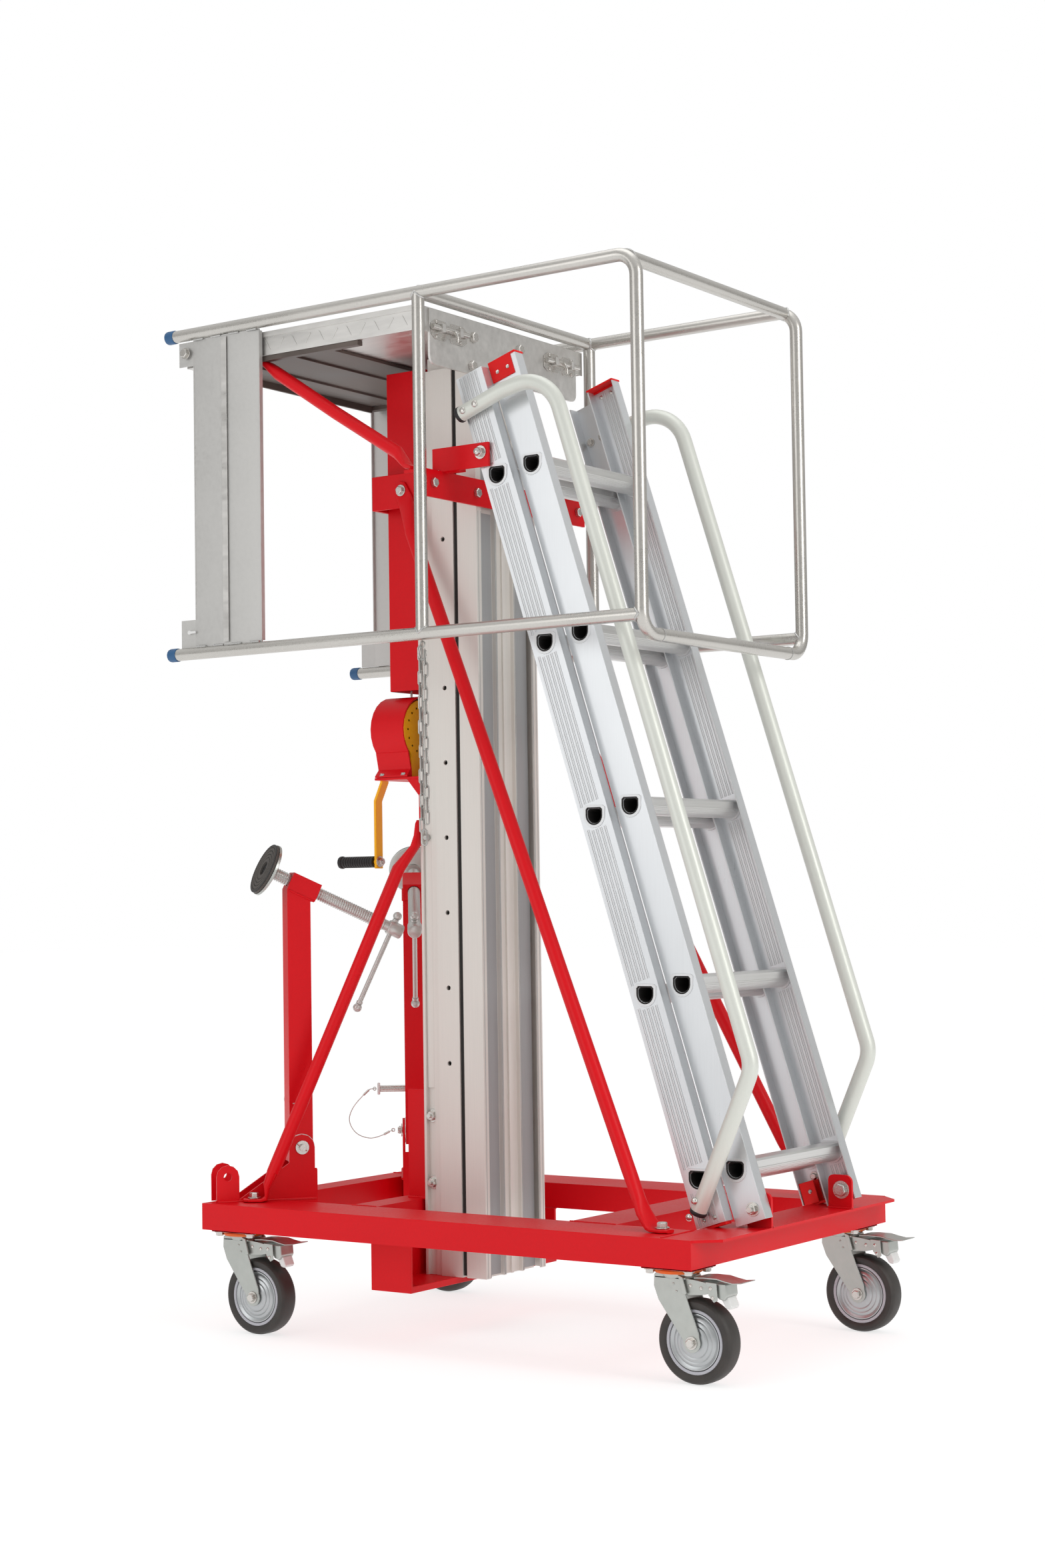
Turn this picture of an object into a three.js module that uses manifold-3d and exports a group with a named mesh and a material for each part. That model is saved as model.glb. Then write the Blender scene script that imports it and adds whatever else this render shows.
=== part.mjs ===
// Hand-winched mobile work platform: castered steel base, telescopic aluminium mast,
// fold-up guard cage, telescopic access ladder and two fold-out stabiliser legs.
// Millimetres, +Z up. Origin on the floor under the middle of the whole outline, +X towards
// the ladder end, -X towards the winch end, -Y the near side. Dimensions below are measured
// from the middle of the base; MIDDLE_X shifts the finished parts to the origin.
import * as THREE from 'three';
import { mergeVertices } from 'three/addons/utils/BufferGeometryUtils.js';
import Module from 'manifold-3d';

const wasm = await Module();
wasm.setup();

// ---------------------------------------------------------------- driving dimensions
const MIDDLE_X = -29.5;                // middle of the outline, cage back to brake pedals
const GAP = 0.3;                       // clearance between neighbouring parts

const BASE_L = 1138;                   // base frame over its rails
const BASE_W = 742;
const BASE_BOTTOM = 206;
const BASE_TOP = 258;
const LONG_RAIL_W = 120;               // width of the two long rails
const END_RAIL_W = 60;
const RAIL_WALL = 4;
const CROSS_BACK = [-282, -222];       // cross rail behind the mast, in X
const CROSS_FRONT = [235, 337];        // cross rail between mast and ladder, in X
const END_PLATE = [505, 610];          // ladder landing plate, in X
const END_PLATE_T = 5;
const CHAMFER = 41;

const MAST_HALF_W = 103;
const MAST_BOTTOM = 108.3;
const OUTER_X = [-213, -122];          // fixed mast section
const INNER_X = [-112, -64];           // moving mast section, outside part
const OUTER_TOP = 1925;
const INNER_TOP = 1955;
const HOLE_PITCH = 150;                // holes along the fixed section

const DECK_X = [-623, -64.5];
const DECK_RAIL_X = -668;               // ends of the side rails that carry the cage
const DECK_HALF_W = 285;
const DECK_Z = [1963, 2012];

const CAGE_Y = 300;                    // side panels of the guard cage
const CAGE_R = 12.5;
const CAGE_TOP_Z = 2030;
const CAGE_BOTTOM_Z = 1368;
const CAGE_CROSS_Z = 1334;             // lower tube across the ladder end
const CAGE_BACK_X = -706;
const CAGE_MID_X = -53;
const CAGE_END_X = 446;
const CAGE_PIVOT = [-654, 1991];       // x, z of the two ear bolts

const LADDER_TILT = THREE.MathUtils.degToRad(17.66);
const RUNG_PITCH = 349;
const RUNG_COUNT = 5;
const STILE_W = 64;                    // stile width, across the ladder's plane
const LOWER = { n: 637.5, web: 186, flange: 26, s: [79, 1796], rung: 178 };
const UPPER = { n: 571.5, web: 212, flange: 26, s: [94, 1791], rung: 180 };
const LADDER_PIVOT = [588, 293.5];     // x, z of the foot bolts
const ARM_PIVOT = [35, 1719];          // x, z of the bolts at the lift arms

const LEG_X = -462;                    // stabiliser leg pivots
const LEG_Y = 197;
const LEG_PIVOT_Z = 360.5;
const LEG_DIR = [-0.611, 0.7916];       // outward swing direction on the far side
const LEG_SIZE = 48;
const SCREW_AXIS = [0.9048, 0.4258];     // outward and up, while the leg is stowed
const UNFOLDED_HOLE = [-2.7, 521.3];     // meets the corner clevis once the leg is folded out
const SCREW_MID_Z = 893;               // height where the screw crosses the leg

const WHEEL_R = 75;
const WHEEL_W = 38;
const SWIVEL_X = 507;
const SWIVEL_Y = 312;
const TRAIL = 41;                      // wheel centre behind the swivel axis
const CASTER_PLATE_Z = 201;            // underside of the caster plates

const WINCH_Y = -45;
const WINCH_Z = 1203;

// ---------------------------------------------------------------- colours
const RED = { color: 0xc00018, roughness: 0.35, metalness: 0.0 };
const MAST = { color: 0xc9c4bd, roughness: 0.45, metalness: 0.7 };
const TUBE = { color: 0xb9b6ae, roughness: 0.3, metalness: 0.9 };
const LADDER = { color: 0xd2d4d6, roughness: 0.5, metalness: 0.7 };
const RAIL_GREY = { color: 0xcfd2cc, roughness: 0.45, metalness: 0.2 };
const SHEET = { color: 0xb4b6b8, roughness: 0.4, metalness: 0.8 };
const ZINC = { color: 0xb6b8b4, roughness: 0.35, metalness: 0.85 };
const RUBBER = { color: 0x26282a, roughness: 0.7, metalness: 0.0 };
const YELLOW = { color: 0xf2a010, roughness: 0.4, metalness: 0.0 };
const BLACK = { color: 0x1a1a1c, roughness: 0.6, metalness: 0.0 };

// ---------------------------------------------------------------- solids
const lift = new THREE.Group();

function solid(geometry) {
  const bare = geometry.index ? geometry.toNonIndexed() : geometry.clone();
  bare.deleteAttribute('normal');
  bare.deleteAttribute('uv');
  const merged = mergeVertices(bare, 1e-4);
  return new wasm.Manifold(new wasm.Mesh({
    numProp: 3,
    vertProperties: new Float32Array(merged.attributes.position.array),
    triVerts: new Uint32Array(merged.index.array),
  }));
}

const join = (...parts) => parts.flat(2).reduce((sum, part) => sum.add(part));
const cut = (body, ...tools) => tools.flat(2).reduce((rest, tool) => rest.subtract(tool), body);

function add(name, body, look) {
  const mesh = body.getMesh();
  const geometry = new THREE.BufferGeometry();
  geometry.setAttribute('position', new THREE.BufferAttribute(mesh.vertProperties, 3));
  geometry.setIndex(new THREE.BufferAttribute(mesh.triVerts, 1));
  geometry.translate(-MIDDLE_X, 0, 0);
  geometry.computeVertexNormals();
  const part = new THREE.Mesh(geometry, new THREE.MeshStandardMaterial(look));
  part.name = name;
  lift.add(part);
}

function box(x0, x1, y0, y1, z0, z1) {
  const geometry = new THREE.BoxGeometry(x1 - x0, y1 - y0, z1 - z0);
  geometry.translate((x0 + x1) / 2, (y0 + y1) / 2, (z0 + z1) / 2);
  return solid(geometry);
}

// a round bar from point a to point b
function rod(a, b, radius, sides = 16) {
  const start = new THREE.Vector3(...a);
  const end = new THREE.Vector3(...b);
  const run = end.clone().sub(start);
  const geometry = new THREE.CylinderGeometry(radius, radius, run.length(), sides);
  const turn = new THREE.Quaternion().setFromUnitVectors(
    new THREE.Vector3(0, 1, 0), run.clone().normalize());
  geometry.applyQuaternion(turn);
  geometry.translate(...start.add(end).multiplyScalar(0.5).toArray());
  return solid(geometry);
}

const ball = (at, radius) => {
  const geometry = new THREE.SphereGeometry(radius, 12, 8);
  geometry.translate(...at);
  return solid(geometry);
};

// an outline drawn in the plane of two axes and given a thickness along their normal
function plate(outline, origin, uAxis, vAxis, from, to) {
  const shape = new THREE.Shape(outline.map(([u, v]) => new THREE.Vector2(u, v)));
  const geometry = new THREE.ExtrudeGeometry(shape, { depth: to - from, bevelEnabled: false });
  geometry.translate(0, 0, from);
  const u = new THREE.Vector3(...uAxis).normalize();
  const v = new THREE.Vector3(...vAxis).normalize();
  const frame = new THREE.Matrix4().makeBasis(u, v, u.clone().cross(v));
  frame.setPosition(...origin);
  geometry.applyMatrix4(frame);
  return solid(geometry);
}

const X_AXIS = [1, 0, 0];
const Y_AXIS = [0, 1, 0];
const Z_AXIS = [0, 0, 1];
// an outline in X and Y raised along Z, and an outline in X and Z spread along Y
const raised = (outline, z0, z1) => plate(outline, [0, 0, 0], X_AXIS, Y_AXIS, z0, z1);
const spread = (outline, y0, y1) => plate(outline, [0, 0, 0], X_AXIS, Z_AXIS, -y1, -y0);

// points of an arc in a plane, for rounded outlines
function arc(u, v, radius, fromDeg, toDeg, steps = 6) {
  return Array.from({ length: steps + 1 }, (_, i) => {
    const angle = THREE.MathUtils.degToRad(fromDeg + ((toDeg - fromDeg) * i) / steps);
    return [u + radius * Math.cos(angle), v + radius * Math.sin(angle)];
  });
}

// a tube centre line: straight runs with rounded corners, one extrusion step per point
class BentLine extends THREE.Curve {
  constructor(corners, bendRadii, bendSteps = 5) {
    super();
    const at = corners.map((corner) => new THREE.Vector3(...corner));
    this.stops = [at[0]];
    for (let i = 1; i < at.length - 1; i += 1) {
      const back = at[i - 1].clone().sub(at[i]);
      const ahead = at[i + 1].clone().sub(at[i]);
      const half = back.angleTo(ahead) / 2;
      const reach = bendRadii[i - 1] / Math.tan(half);
      const p0 = at[i].clone().addScaledVector(back.normalize(), reach);
      const p2 = at[i].clone().addScaledVector(ahead.normalize(), reach);
      const bend = new THREE.QuadraticBezierCurve3(p0, at[i], p2);
      this.stops.push(...bend.getPoints(bendSteps));
    }
    this.stops.push(at[at.length - 1]);
  }

  getSpacedPoints() {
    return this.stops;
  }

  getTangentAt(t) {
    const i = Math.round(t * (this.stops.length - 1));
    const before = this.stops[Math.max(i - 1, 0)];
    const after = this.stops[Math.min(i + 1, this.stops.length - 1)];
    return after.clone().sub(before).normalize();
  }
}

function tube(corners, radius, bendRadii, sides = 12) {
  const path = new BentLine(corners, bendRadii);
  const section = new THREE.Shape();
  for (let i = 0; i < sides; i += 1) {
    const angle = (2 * Math.PI * i) / sides;
    const point = [radius * Math.cos(angle), radius * Math.sin(angle)];
    if (i === 0) section.moveTo(...point);
    else section.lineTo(...point);
  }
  const steps = path.stops.length - 1;
  return solid(new THREE.ExtrudeGeometry(section, { steps, extrudePath: path }));
}

const SIDES = [['near', -1], ['far', 1]];

// ---------------------------------------------------------------- base frame
// Welded from hollow rails whose hollows join up and drain through holes underneath.
function baseFrame() {
  const halfL = BASE_L / 2;
  const halfW = BASE_W / 2;
  const inner = halfW - LONG_RAIL_W;
  const windows = [[-halfL + END_RAIL_W, CROSS_BACK[0], inner],
    [CROSS_BACK[1], CROSS_FRONT[0], inner - 1], [CROSS_FRONT[1], halfL - END_RAIL_W, inner + 1]];
  // the rails as one level grid, drawn in from its outline and its windows by a margin
  const grid = (margin, z0, z1) => cut(
    box(-halfL + margin, halfL - margin, -halfW + margin, halfW - margin, z0, z1),
    windows.map(([x0, x1, y]) => box(x0 - margin, x1 + margin, -y - margin, y + margin,
      z0 - 1, z1 + 1)));
  const rails = grid(0, BASE_BOTTOM, BASE_TOP);
  const hollow = grid(RAIL_WALL, BASE_BOTTOM + RAIL_WALL, BASE_TOP - RAIL_WALL - 2);
  const drains = [-1, 1].map((side) => rod([60, side * 310, BASE_BOTTOM - 1],
    [60, side * 310, BASE_BOTTOM + RAIL_WALL + 1], 7, 8));
  const [p0, p1] = END_PLATE;
  const landing = raised([[p0, -halfW + 3], [halfL, -halfW + 3], [p1, -halfW + CHAMFER],
    [p1, halfW - CHAMFER], [halfL, halfW - 3], [p0, halfW - 3]],
  BASE_TOP - END_PLATE_T, BASE_TOP);
  const frame = cut(join(rails, landing), hollow, drains);
  const plates = SIDES.map(([, side]) => [-SWIVEL_X, SWIVEL_X].map((x) =>
    box(x - 52, x + 52, side * SWIVEL_Y - 42, side * SWIVEL_Y + 42, CASTER_PLATE_Z,
      BASE_BOTTOM + 1)));
  return join(frame, plates, SIDES.map(([, side]) => [
    legBracket(side), ...cornerClevis(side), ladderLug(side), mastBracket(side)]));
}

// two ears and an inner web that carry a stabiliser leg, with gussets out to the corner
function legBracket(side) {
  const out = [LEG_DIR[0], side * LEG_DIR[1], 0];
  const origin = [LEG_X, side * LEG_Y, 0];
  const half = LEG_SIZE / 2;
  const ear = [[-30, 212], [78, 212], [78, BASE_TOP - 2], [138, BASE_TOP - 2],
    [half + 3, 330], ...arc(0, LEG_PIVOT_Z, half + 2, 0, 180), [-half - 2, 318], [-30, 318]];
  const hole = (v) => arc(0, v, 6.5, 0, 360, 10).slice(1);
  const slab = (from, to) => {
    const body = plate(ear, origin, out, Z_AXIS, from, to);
    return cut(body, plate(hole(LEG_PIVOT_Z), origin, out, Z_AXIS, from - 1, to + 1));
  };
  const web = plate([[-half - 7, 212], [-half - 1.5, 212], [-half - 1.5, 316], [-half - 7, 316]],
    origin, out, Z_AXIS, -half - 6.5, half + 6.5);
  const foot = plate([[-30, 206], [100, 206], [100, 212.5], [-30, 212.5]],
    origin, out, Z_AXIS, -half - 6.5, half + 6.5);
  return join(slab(-half - 6.5, -half - 1), slab(half + 1, half + 6.5), web, foot);
}

// two ears at the corner that take the unfolded leg and its lock pin
function cornerClevis(side) {
  const out = [LEG_DIR[0], side * LEG_DIR[1], 0];
  const origin = [LEG_X, side * LEG_Y, 0];
  const half = LEG_SIZE / 2;
  const ear = [[129, BASE_TOP - 2], [175, BASE_TOP - 2], ...arc(152, 308, 23, 0, 180)];
  const hole = arc(152, 308, 8.5, 0, 360, 16).slice(1);
  return [[-half - 7, -half - 1.5], [half + 1.5, half + 7]].map(([from, to]) =>
    cut(plate(ear, origin, out, Z_AXIS, from, to),
      plate(hole, origin, out, Z_AXIS, from - 1, to + 1)));
}

// the upright lug that a ladder foot is bolted to
function ladderLug(side) {
  const [x, z] = LADDER_PIVOT;
  const outline = [[x - 28, BASE_TOP - 1], [x + 22, BASE_TOP - 1],
    [x + 22, z + 14], ...arc(x + 8, z + 14, 14, 0, 90, 4), ...arc(x - 18, z + 18, 10, 90, 180, 3)];
  const hole = arc(x, z, 6, 0, 360, 10).slice(1);
  const y0 = side * 155 - 3;
  return cut(spread(outline, y0, y0 + 6), spread(hole, y0 - 1, y0 + 7));
}

// the tall channel on the cross rail that the fixed mast section is bolted to
function mastBracket(side) {
  const front = OUTER_X[0] - GAP;
  const y = (a, b) => (side < 0 ? [-b, -a] : [a, b]);
  return join(
    box(front - 7, front, ...y(40, 96), BASE_TOP - 1, 475),
    box(front - 46, front, ...y(90, 96), BASE_TOP - 1, 475));
}

add('base_frame', baseFrame(), RED);

// channel hung between the long rails, under the mast
function mastFoot() {
  const half = BASE_W / 2 - LONG_RAIL_W - GAP;
  const x0 = -236;
  const x1 = -138;
  const top = BASE_BOTTOM - GAP;
  const sole = MAST_BOTTOM - GAP;
  return join(
    box(x0, x0 + 6, -half, half, 97, top),
    box(x0, x1, -half, half, sole - 8, sole),
    box(x1 - 5, x1, -half, half, 95, sole),
    box(x0, x1, -half, -half + 6, 95, top),
    box(x0, x1, half - 6, half, 95, top));
}
add('mast_foot_bracket', mastFoot(), RED);

// ---------------------------------------------------------------- mast
// fixed section: a channel open to +X, with a fastening groove down each side
function mastOuter() {
  const [x0, x1] = OUTER_X;
  const half = MAST_HALF_W;
  const side = (s) => [[x0, s * half], [x0 + 6, s * half], [x0 + 6, s * (half - 9)],
    [x0 + 23, s * (half - 9)], [x0 + 23, s * (half - 5)], [x0 + 39, s * (half - 5)],
    [x0 + 39, s * half], [x1, s * half], [x1, s * (half - 14)], [x1 - 5, s * (half - 14)],
    [x1 - 5, s * (half - 5)], [x0 + 44, s * (half - 5)], [x0 + 44, s * (half - 14)],
    [x0 + 5, s * (half - 14)]];
  const outline = [...side(-1), ...side(1).reverse()];
  const body = raised(outline, MAST_BOTTOM, OUTER_TOP);
  const holes = [];
  for (let z = 530; z < OUTER_TOP - 100; z += HOLE_PITCH) {
    holes.push(rod([x1 - 26, -half - 1, z], [x1 - 26, -half + 6, z], 5, 10));
    holes.push(rod([x1 - 26, half - 6, z], [x1 - 26, half + 1, z], 5, 10));
  }
  return cut(body, holes);
}
add('mast_outer', mastOuter(), MAST);

// moving section: a ribbed face outside and a hollow tongue that runs inside the fixed one
function mastInner() {
  const [x0, x1] = INNER_X;
  const half = MAST_HALF_W;
  const side = (s) => [[x1, s * half], [x1, s * (half - 17)], [x1 - 14, s * (half - 17)],
    [x1 - 14, s * 34], [x1 - 5, s * 34], [x1 - 5, s * 28], [x1 - 14, s * 28], [x1 - 14, s * 4],
    [x1 - 9, s * 4]];
  const back = (s) => [[x0, s * half], [x0, s * 80], [-198, s * 80]];
  const outline = [...back(1).reverse(), ...side(1), ...side(-1).reverse(), ...back(-1)];
  const body = raised(outline, MAST_BOTTOM, INNER_TOP);
  const hollow = box(-194, x1 - 18, -76, 76, MAST_BOTTOM - 1, INNER_TOP + 1);
  const pockets = [-1, 1].map((s) => box(x0 + 4, x1 - 4, Math.min(s * 80, s * 99),
    Math.max(s * 80, s * 99), MAST_BOTTOM - 1, INNER_TOP + 1));
  return cut(body, hollow, pockets);
}
add('mast_inner', mastInner(), MAST);

// box over the lifting cable, behind the mast
const HOUSING = { x: [-312, OUTER_X[0] - GAP], y: 70, z: [1283, 1940] };
add('cable_housing', cut(
  box(...HOUSING.x, -HOUSING.y, HOUSING.y, ...HOUSING.z),
  box(HOUSING.x[0] + 3, HOUSING.x[1] - 3, -HOUSING.y + 3, HOUSING.y - 3,
    HOUSING.z[0] - 1, HOUSING.z[1] - 3)), RED);

// collar round the housing that the front braces are bolted to
function rearCollar() {
  const z = [1652, 1722];
  const reach = [HOUSING.x[0] - 8 - GAP, OUTER_X[0] - GAP];
  return join(
    box(reach[0], reach[0] + 8, -112, 112, ...z),
    box(...reach, -112, -106, ...z),
    box(...reach, 106, 112, ...z));
}
add('rear_collar', rearCollar(), RED);

// ---------------------------------------------------------------- braces
// a round tube whose ends are pressed flat and bolted down, the foot along its own direction
function footTab(s, [x, y], toward) {
  const along = [toward[0] - x, s * (toward[1] - y), 0];
  const outline = [[-15, -7], [-10, -12], [10, -12], [44, -10], [44, 10], [10, 12], [-10, 12],
    [-15, 7]];
  const side = [-along[1], along[0], 0];
  return plate(outline, [x, s * y, 0], along, side, BASE_TOP + GAP, BASE_TOP + 8);
}

for (const [name, s] of SIDES) {
  const y = (a, b) => (s < 0 ? [-b, -a] : [a, b]);
  add(`brace_front_${name}`, join(
    rod([-238, s * 126.5, 1672], [436, s * 299, 267], 13.5, 12),
    box(-256, -224, ...y(112.3, 119), 1664, 1704),
    footTab(s, [470, 305], [-238, 119])), RED);
  add(`brace_rear_${name}`, join(
    rod([-228, s * 112, 985], [-475, s * 296, 265.5], 13, 12),
    box(-242, -213.4, ...y(103.5, 112), 975, 1012),
    footTab(s, [-488, 306], [-228, 112])), RED);
}

// ---------------------------------------------------------------- winch
const SHELF_Z = 1106;
function winchBracket() {
  const back = OUTER_X[0] - GAP;
  const gusset = [[back - 5, SHELF_Z - 4], [back - 5, SHELF_Z - 42], [back - 38, SHELF_Z - 4]];
  return join(
    box(-332, back, -100, 60, SHELF_Z - 5, SHELF_Z),
    box(back - 6, back, -100, 60, SHELF_Z - 98, SHELF_Z),
    spread(gusset, -98, -93),
    spread(gusset, 50, 55));
}
add('winch_bracket', winchBracket(), RED);

// sheet cover bent round the drum, with a bolting flange along each foot
function winchCover() {
  const shell = (radius) => arc(WINCH_Y, WINCH_Z, radius, -42, 222, 18);
  const foot = SHELF_Z + GAP;
  const ring = [...shell(69), ...shell(66).reverse()];
  const yz = (outline) => plate(outline, [0, 0, 0], Y_AXIS, Z_AXIS, -330, -247);
  const skirt = (s) => yz([[WINCH_Y + s * 49.5, WINCH_Z - 44], [WINCH_Y + s * 52, WINCH_Z - 46.5],
    [WINCH_Y + s * 44, foot + 16], [WINCH_Y + s * 56, foot + 3], [WINCH_Y + s * 56, foot],
    [WINCH_Y + s * 40, foot], [WINCH_Y + s * 40, foot + 16]]);
  return join(yz(ring), skirt(-1), skirt(1));
}
add('winch_cover', winchCover(), RED);

// yellow side plates joined by stay bars, standing on the shelf inside the cover
function winchFrame() {
  const cheek = [[WINCH_Y - 36, SHELF_Z + GAP], [WINCH_Y + 36, SHELF_Z + GAP],
    ...arc(WINCH_Y, WINCH_Z, 62, -52, 232, 16)];
  const yz = (outline, x0, x1) => plate(outline, [0, 0, 0], Y_AXIS, Z_AXIS, x0, x1);
  const bore = arc(WINCH_Y, WINCH_Z, 9, 0, 360, 12).slice(1);
  const plates = [[-328, -324], [-254, -250]].map(([x0, x1]) =>
    cut(yz(cheek, x0, x1), yz(bore, x0 - 1, x1 + 1)));
  const stays = [[-30, -78], [30, -78]].map(([y, z]) =>
    rod([-327, WINCH_Y + y, WINCH_Z + z], [-251, WINCH_Y + y, WINCH_Z + z], 5, 8));
  return join(plates, stays);
}
add('winch_frame', winchFrame(), YELLOW);

// the crank shaft carries the cable drum between its two flanges
function winchDrum() {
  const at = (x) => [x, WINCH_Y, WINCH_Z];
  return join(rod(at(-346), at(-247), 8, 12), rod(at(-320), at(-258), 26, 20),
    rod(at(-322), at(-318), 50, 24), rod(at(-260), at(-256), 50, 24));
}
add('winch_drum', winchDrum(), ZINC);

// dog-leg crank arm hanging from the shaft, cranked outwards below the shelf
const CRANK_FOOT_Z = 936;
function winchCrank() {
  const xz = [[-346.5, WINCH_Z + 14], [-352.5, WINCH_Z + 14], [-352.5, 1100], [-370, 1062],
    [-370, CRANK_FOOT_Z - 14], [-364, CRANK_FOOT_Z - 14], [-364, 1060.5], [-346.5, 1098.5]];
  const arm = spread(xz.reverse(), WINCH_Y - 11, WINCH_Y + 11);
  const stub = rod([-367, WINCH_Y, CRANK_FOOT_Z], [-376, WINCH_Y, CRANK_FOOT_Z], 6, 10);
  return join(arm, stub);
}
add('winch_crank', winchCrank(), YELLOW);
add('crank_grip', rod([-376.5, WINCH_Y, CRANK_FOOT_Z],
  [-468, WINCH_Y, CRANK_FOOT_Z], 12, 14), BLACK);

// ---------------------------------------------------------------- platform
add('platform_deck', join(
  cut(box(...DECK_X, -DECK_HALF_W, DECK_HALF_W, ...DECK_Z),
    box(DECK_X[0] + 3, DECK_X[1] + 1, -DECK_HALF_W + 3, DECK_HALF_W - 3,
      DECK_Z[0] + 2, DECK_Z[1] - 4)),
  SIDES.map(([, s]) => box(DECK_RAIL_X, DECK_X[0] + 20,
    Math.min(s * 265, s * (DECK_HALF_W - 0.5)), Math.max(s * 265, s * (DECK_HALF_W - 0.5)),
    DECK_Z[0] + 0.5, DECK_Z[1] - 0.5))), SHEET);

const PANEL_X = [-63.6, -58.6];
const LATCH_Z = 1972;
function frontPanel() {
  const z0 = 1900;
  const z1 = 2009;
  const half = 256;
  const outline = [[-half, z1], ...arc(-half + 16, z0 + 16, 16, 180, 270, 4),
    ...arc(half - 16, z0 + 16, 16, 270, 360, 4), [half, z1]];
  const sheet = plate(outline, [0, 0, 0], Y_AXIS, Z_AXIS, ...PANEL_X);
  const keepers = SIDES.map(([, s]) => [168, 226].map((y) => cut(
    box(PANEL_X[1] - 1, PANEL_X[1] + 14, s * y - 5, s * y + 5, LATCH_Z - 8, LATCH_Z + 8),
    rod([PANEL_X[1] + 7, s * y - 6, LATCH_Z],
      [PANEL_X[1] + 7, s * y + 6, LATCH_Z], 4.6, 8)))).flat();
  return join(sheet, keepers);
}
add('front_panel', frontPanel(), SHEET);

for (const [name, s] of SIDES) {
  const x = PANEL_X[1] + 7;
  add(`latch_bolt_${name}`, join(
    rod([x, s * 140, LATCH_Z], [x, s * 252, LATCH_Z], 4, 10),
    rod([x + 2, s * 196, LATCH_Z], [x + 20, s * 196, LATCH_Z], 3, 8)), ZINC);
}

// bar across the moving mast section, with an arm to each ladder pivot
function ladderBar() {
  const x = INNER_X[1] + GAP;
  const half = 280;
  const bar = box(x, x + 6, -half, half, 1638, 1692);
  const ledges = SIDES.map(([, s]) => {
    const y = s < 0 ? [-half, -MAST_HALF_W - 4] : [MAST_HALF_W + 4, half];
    return box(x - 44, x + 6, ...y, 1686, 1692);
  });
  const arms = SIDES.map(([, s]) => {
    const outer = s < 0 ? [-222, -216] : [216, 222];
    const lip = s < 0 ? [-222, -190] : [190, 222];
    const [px, pz] = ARM_PIVOT;
    const hole = rod([px, s * 210, pz], [px, s * 230, pz], 5.5, 10);
    return [cut(box(-82, px + 18, ...outer, 1691, 1738), hole),
      box(-82, -24, ...lip, 1691, 1697)];
  }).flat();
  return join(bar, ledges, arms);
}
add('ladder_bar', ladderBar(), RED);

for (const [name, s] of SIDES) {
  const y = s * 262;
  add(`brace_platform_${name}`, join(
    rod([-474, y, 1950], [-108, y, 1714], 13, 12),
    box(-500, -464, y - 14, y + 14, 1950, DECK_Z[0] - GAP),
    box(-119, -94, y - 14, y + 14, 1692.3, 1718)), RED);
}

// ---------------------------------------------------------------- guard cage
// side panel: the top rail bends down into the end post, which turns in under the ladder end
function cageSide(s) {
  const y = s * CAGE_Y;
  const loop = tube([[CAGE_BACK_X, y, CAGE_TOP_Z], [CAGE_END_X, y, CAGE_TOP_Z],
    [CAGE_END_X, y, CAGE_CROSS_Z], [CAGE_END_X, s * (CAGE_Y - 60), CAGE_CROSS_Z]],
  CAGE_R, [42, 42], 12);
  const bottom = rod([CAGE_BACK_X, y, CAGE_BOTTOM_Z], [CAGE_END_X, y, CAGE_BOTTOM_Z], CAGE_R, 12);
  const mid = rod([CAGE_MID_X, y, CAGE_TOP_Z], [CAGE_MID_X, y, CAGE_BOTTOM_Z], CAGE_R, 12);
  return join(loop, bottom, mid);
}

for (const [name, s] of SIDES) {
  add(`cage_side_${name}`, cageSide(s), TUBE);
}
const CROSS_END = CAGE_Y - CAGE_R - GAP;
add('cage_cross_mid', rod([CAGE_MID_X, -CROSS_END, CAGE_TOP_Z],
  [CAGE_MID_X, CROSS_END, CAGE_TOP_Z], CAGE_R, 12), TUBE);
add('cage_cross_top', rod([CAGE_END_X - 22, -CROSS_END, CAGE_TOP_Z],
  [CAGE_END_X - 22, CROSS_END, CAGE_TOP_Z], CAGE_R, 12), TUBE);
add('cage_cross_bottom', rod([CAGE_END_X, -CAGE_Y + 60 + GAP, CAGE_CROSS_Z],
  [CAGE_END_X, CAGE_Y - 60 - GAP, CAGE_CROSS_Z], CAGE_R, 12), TUBE);

// folded sheet toe board between the rails, with a pivot ear and a keyhole ear
function toeBoard(s) {
  const z = [CAGE_BOTTOM_Z + CAGE_R + GAP, CAGE_TOP_Z - CAGE_R - GAP];
  const x0 = -638;
  const x1 = -459;
  const mid = (x0 + x1) / 2;
  const outline = [[x0, -1.5], [mid, 3.5], [x1, -1.5], [x1, 1.5], [mid, 6.5], [x0, 1.5]]
    .map(([x, d]) => [x, s * (CAGE_Y - 3 + d)]);
  const sheet = raised(s > 0 ? outline : outline.reverse(), ...z);
  const y = s < 0 ? [-CAGE_Y + 1.8, -CAGE_Y + 4.2] : [CAGE_Y - 4.2, CAGE_Y - 1.8];
  const [px, pz] = CAGE_PIVOT;
  const hole = rod([px, s * 280, pz], [px, s * 310, pz], 5, 10);
  const ears = [cut(box(px - 23, x0 + 4, ...y, pz - 26, pz + 24), hole),
    box(px - 23, x0 + 4, ...y, z[0], 1438)];
  return join(sheet, ears);
}
for (const [name, s] of SIDES) {
  add(`toe_board_${name}`, toeBoard(s), SHEET);
}

// the doubled safety chain, as the flat envelope it hangs in
add('safety_chain', box(CAGE_MID_X - 10, CAGE_MID_X + 10, -CAGE_Y - 4, -CAGE_Y + 4,
  966, CAGE_BOTTOM_Z - CAGE_R - 6), ZINC);

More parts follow.
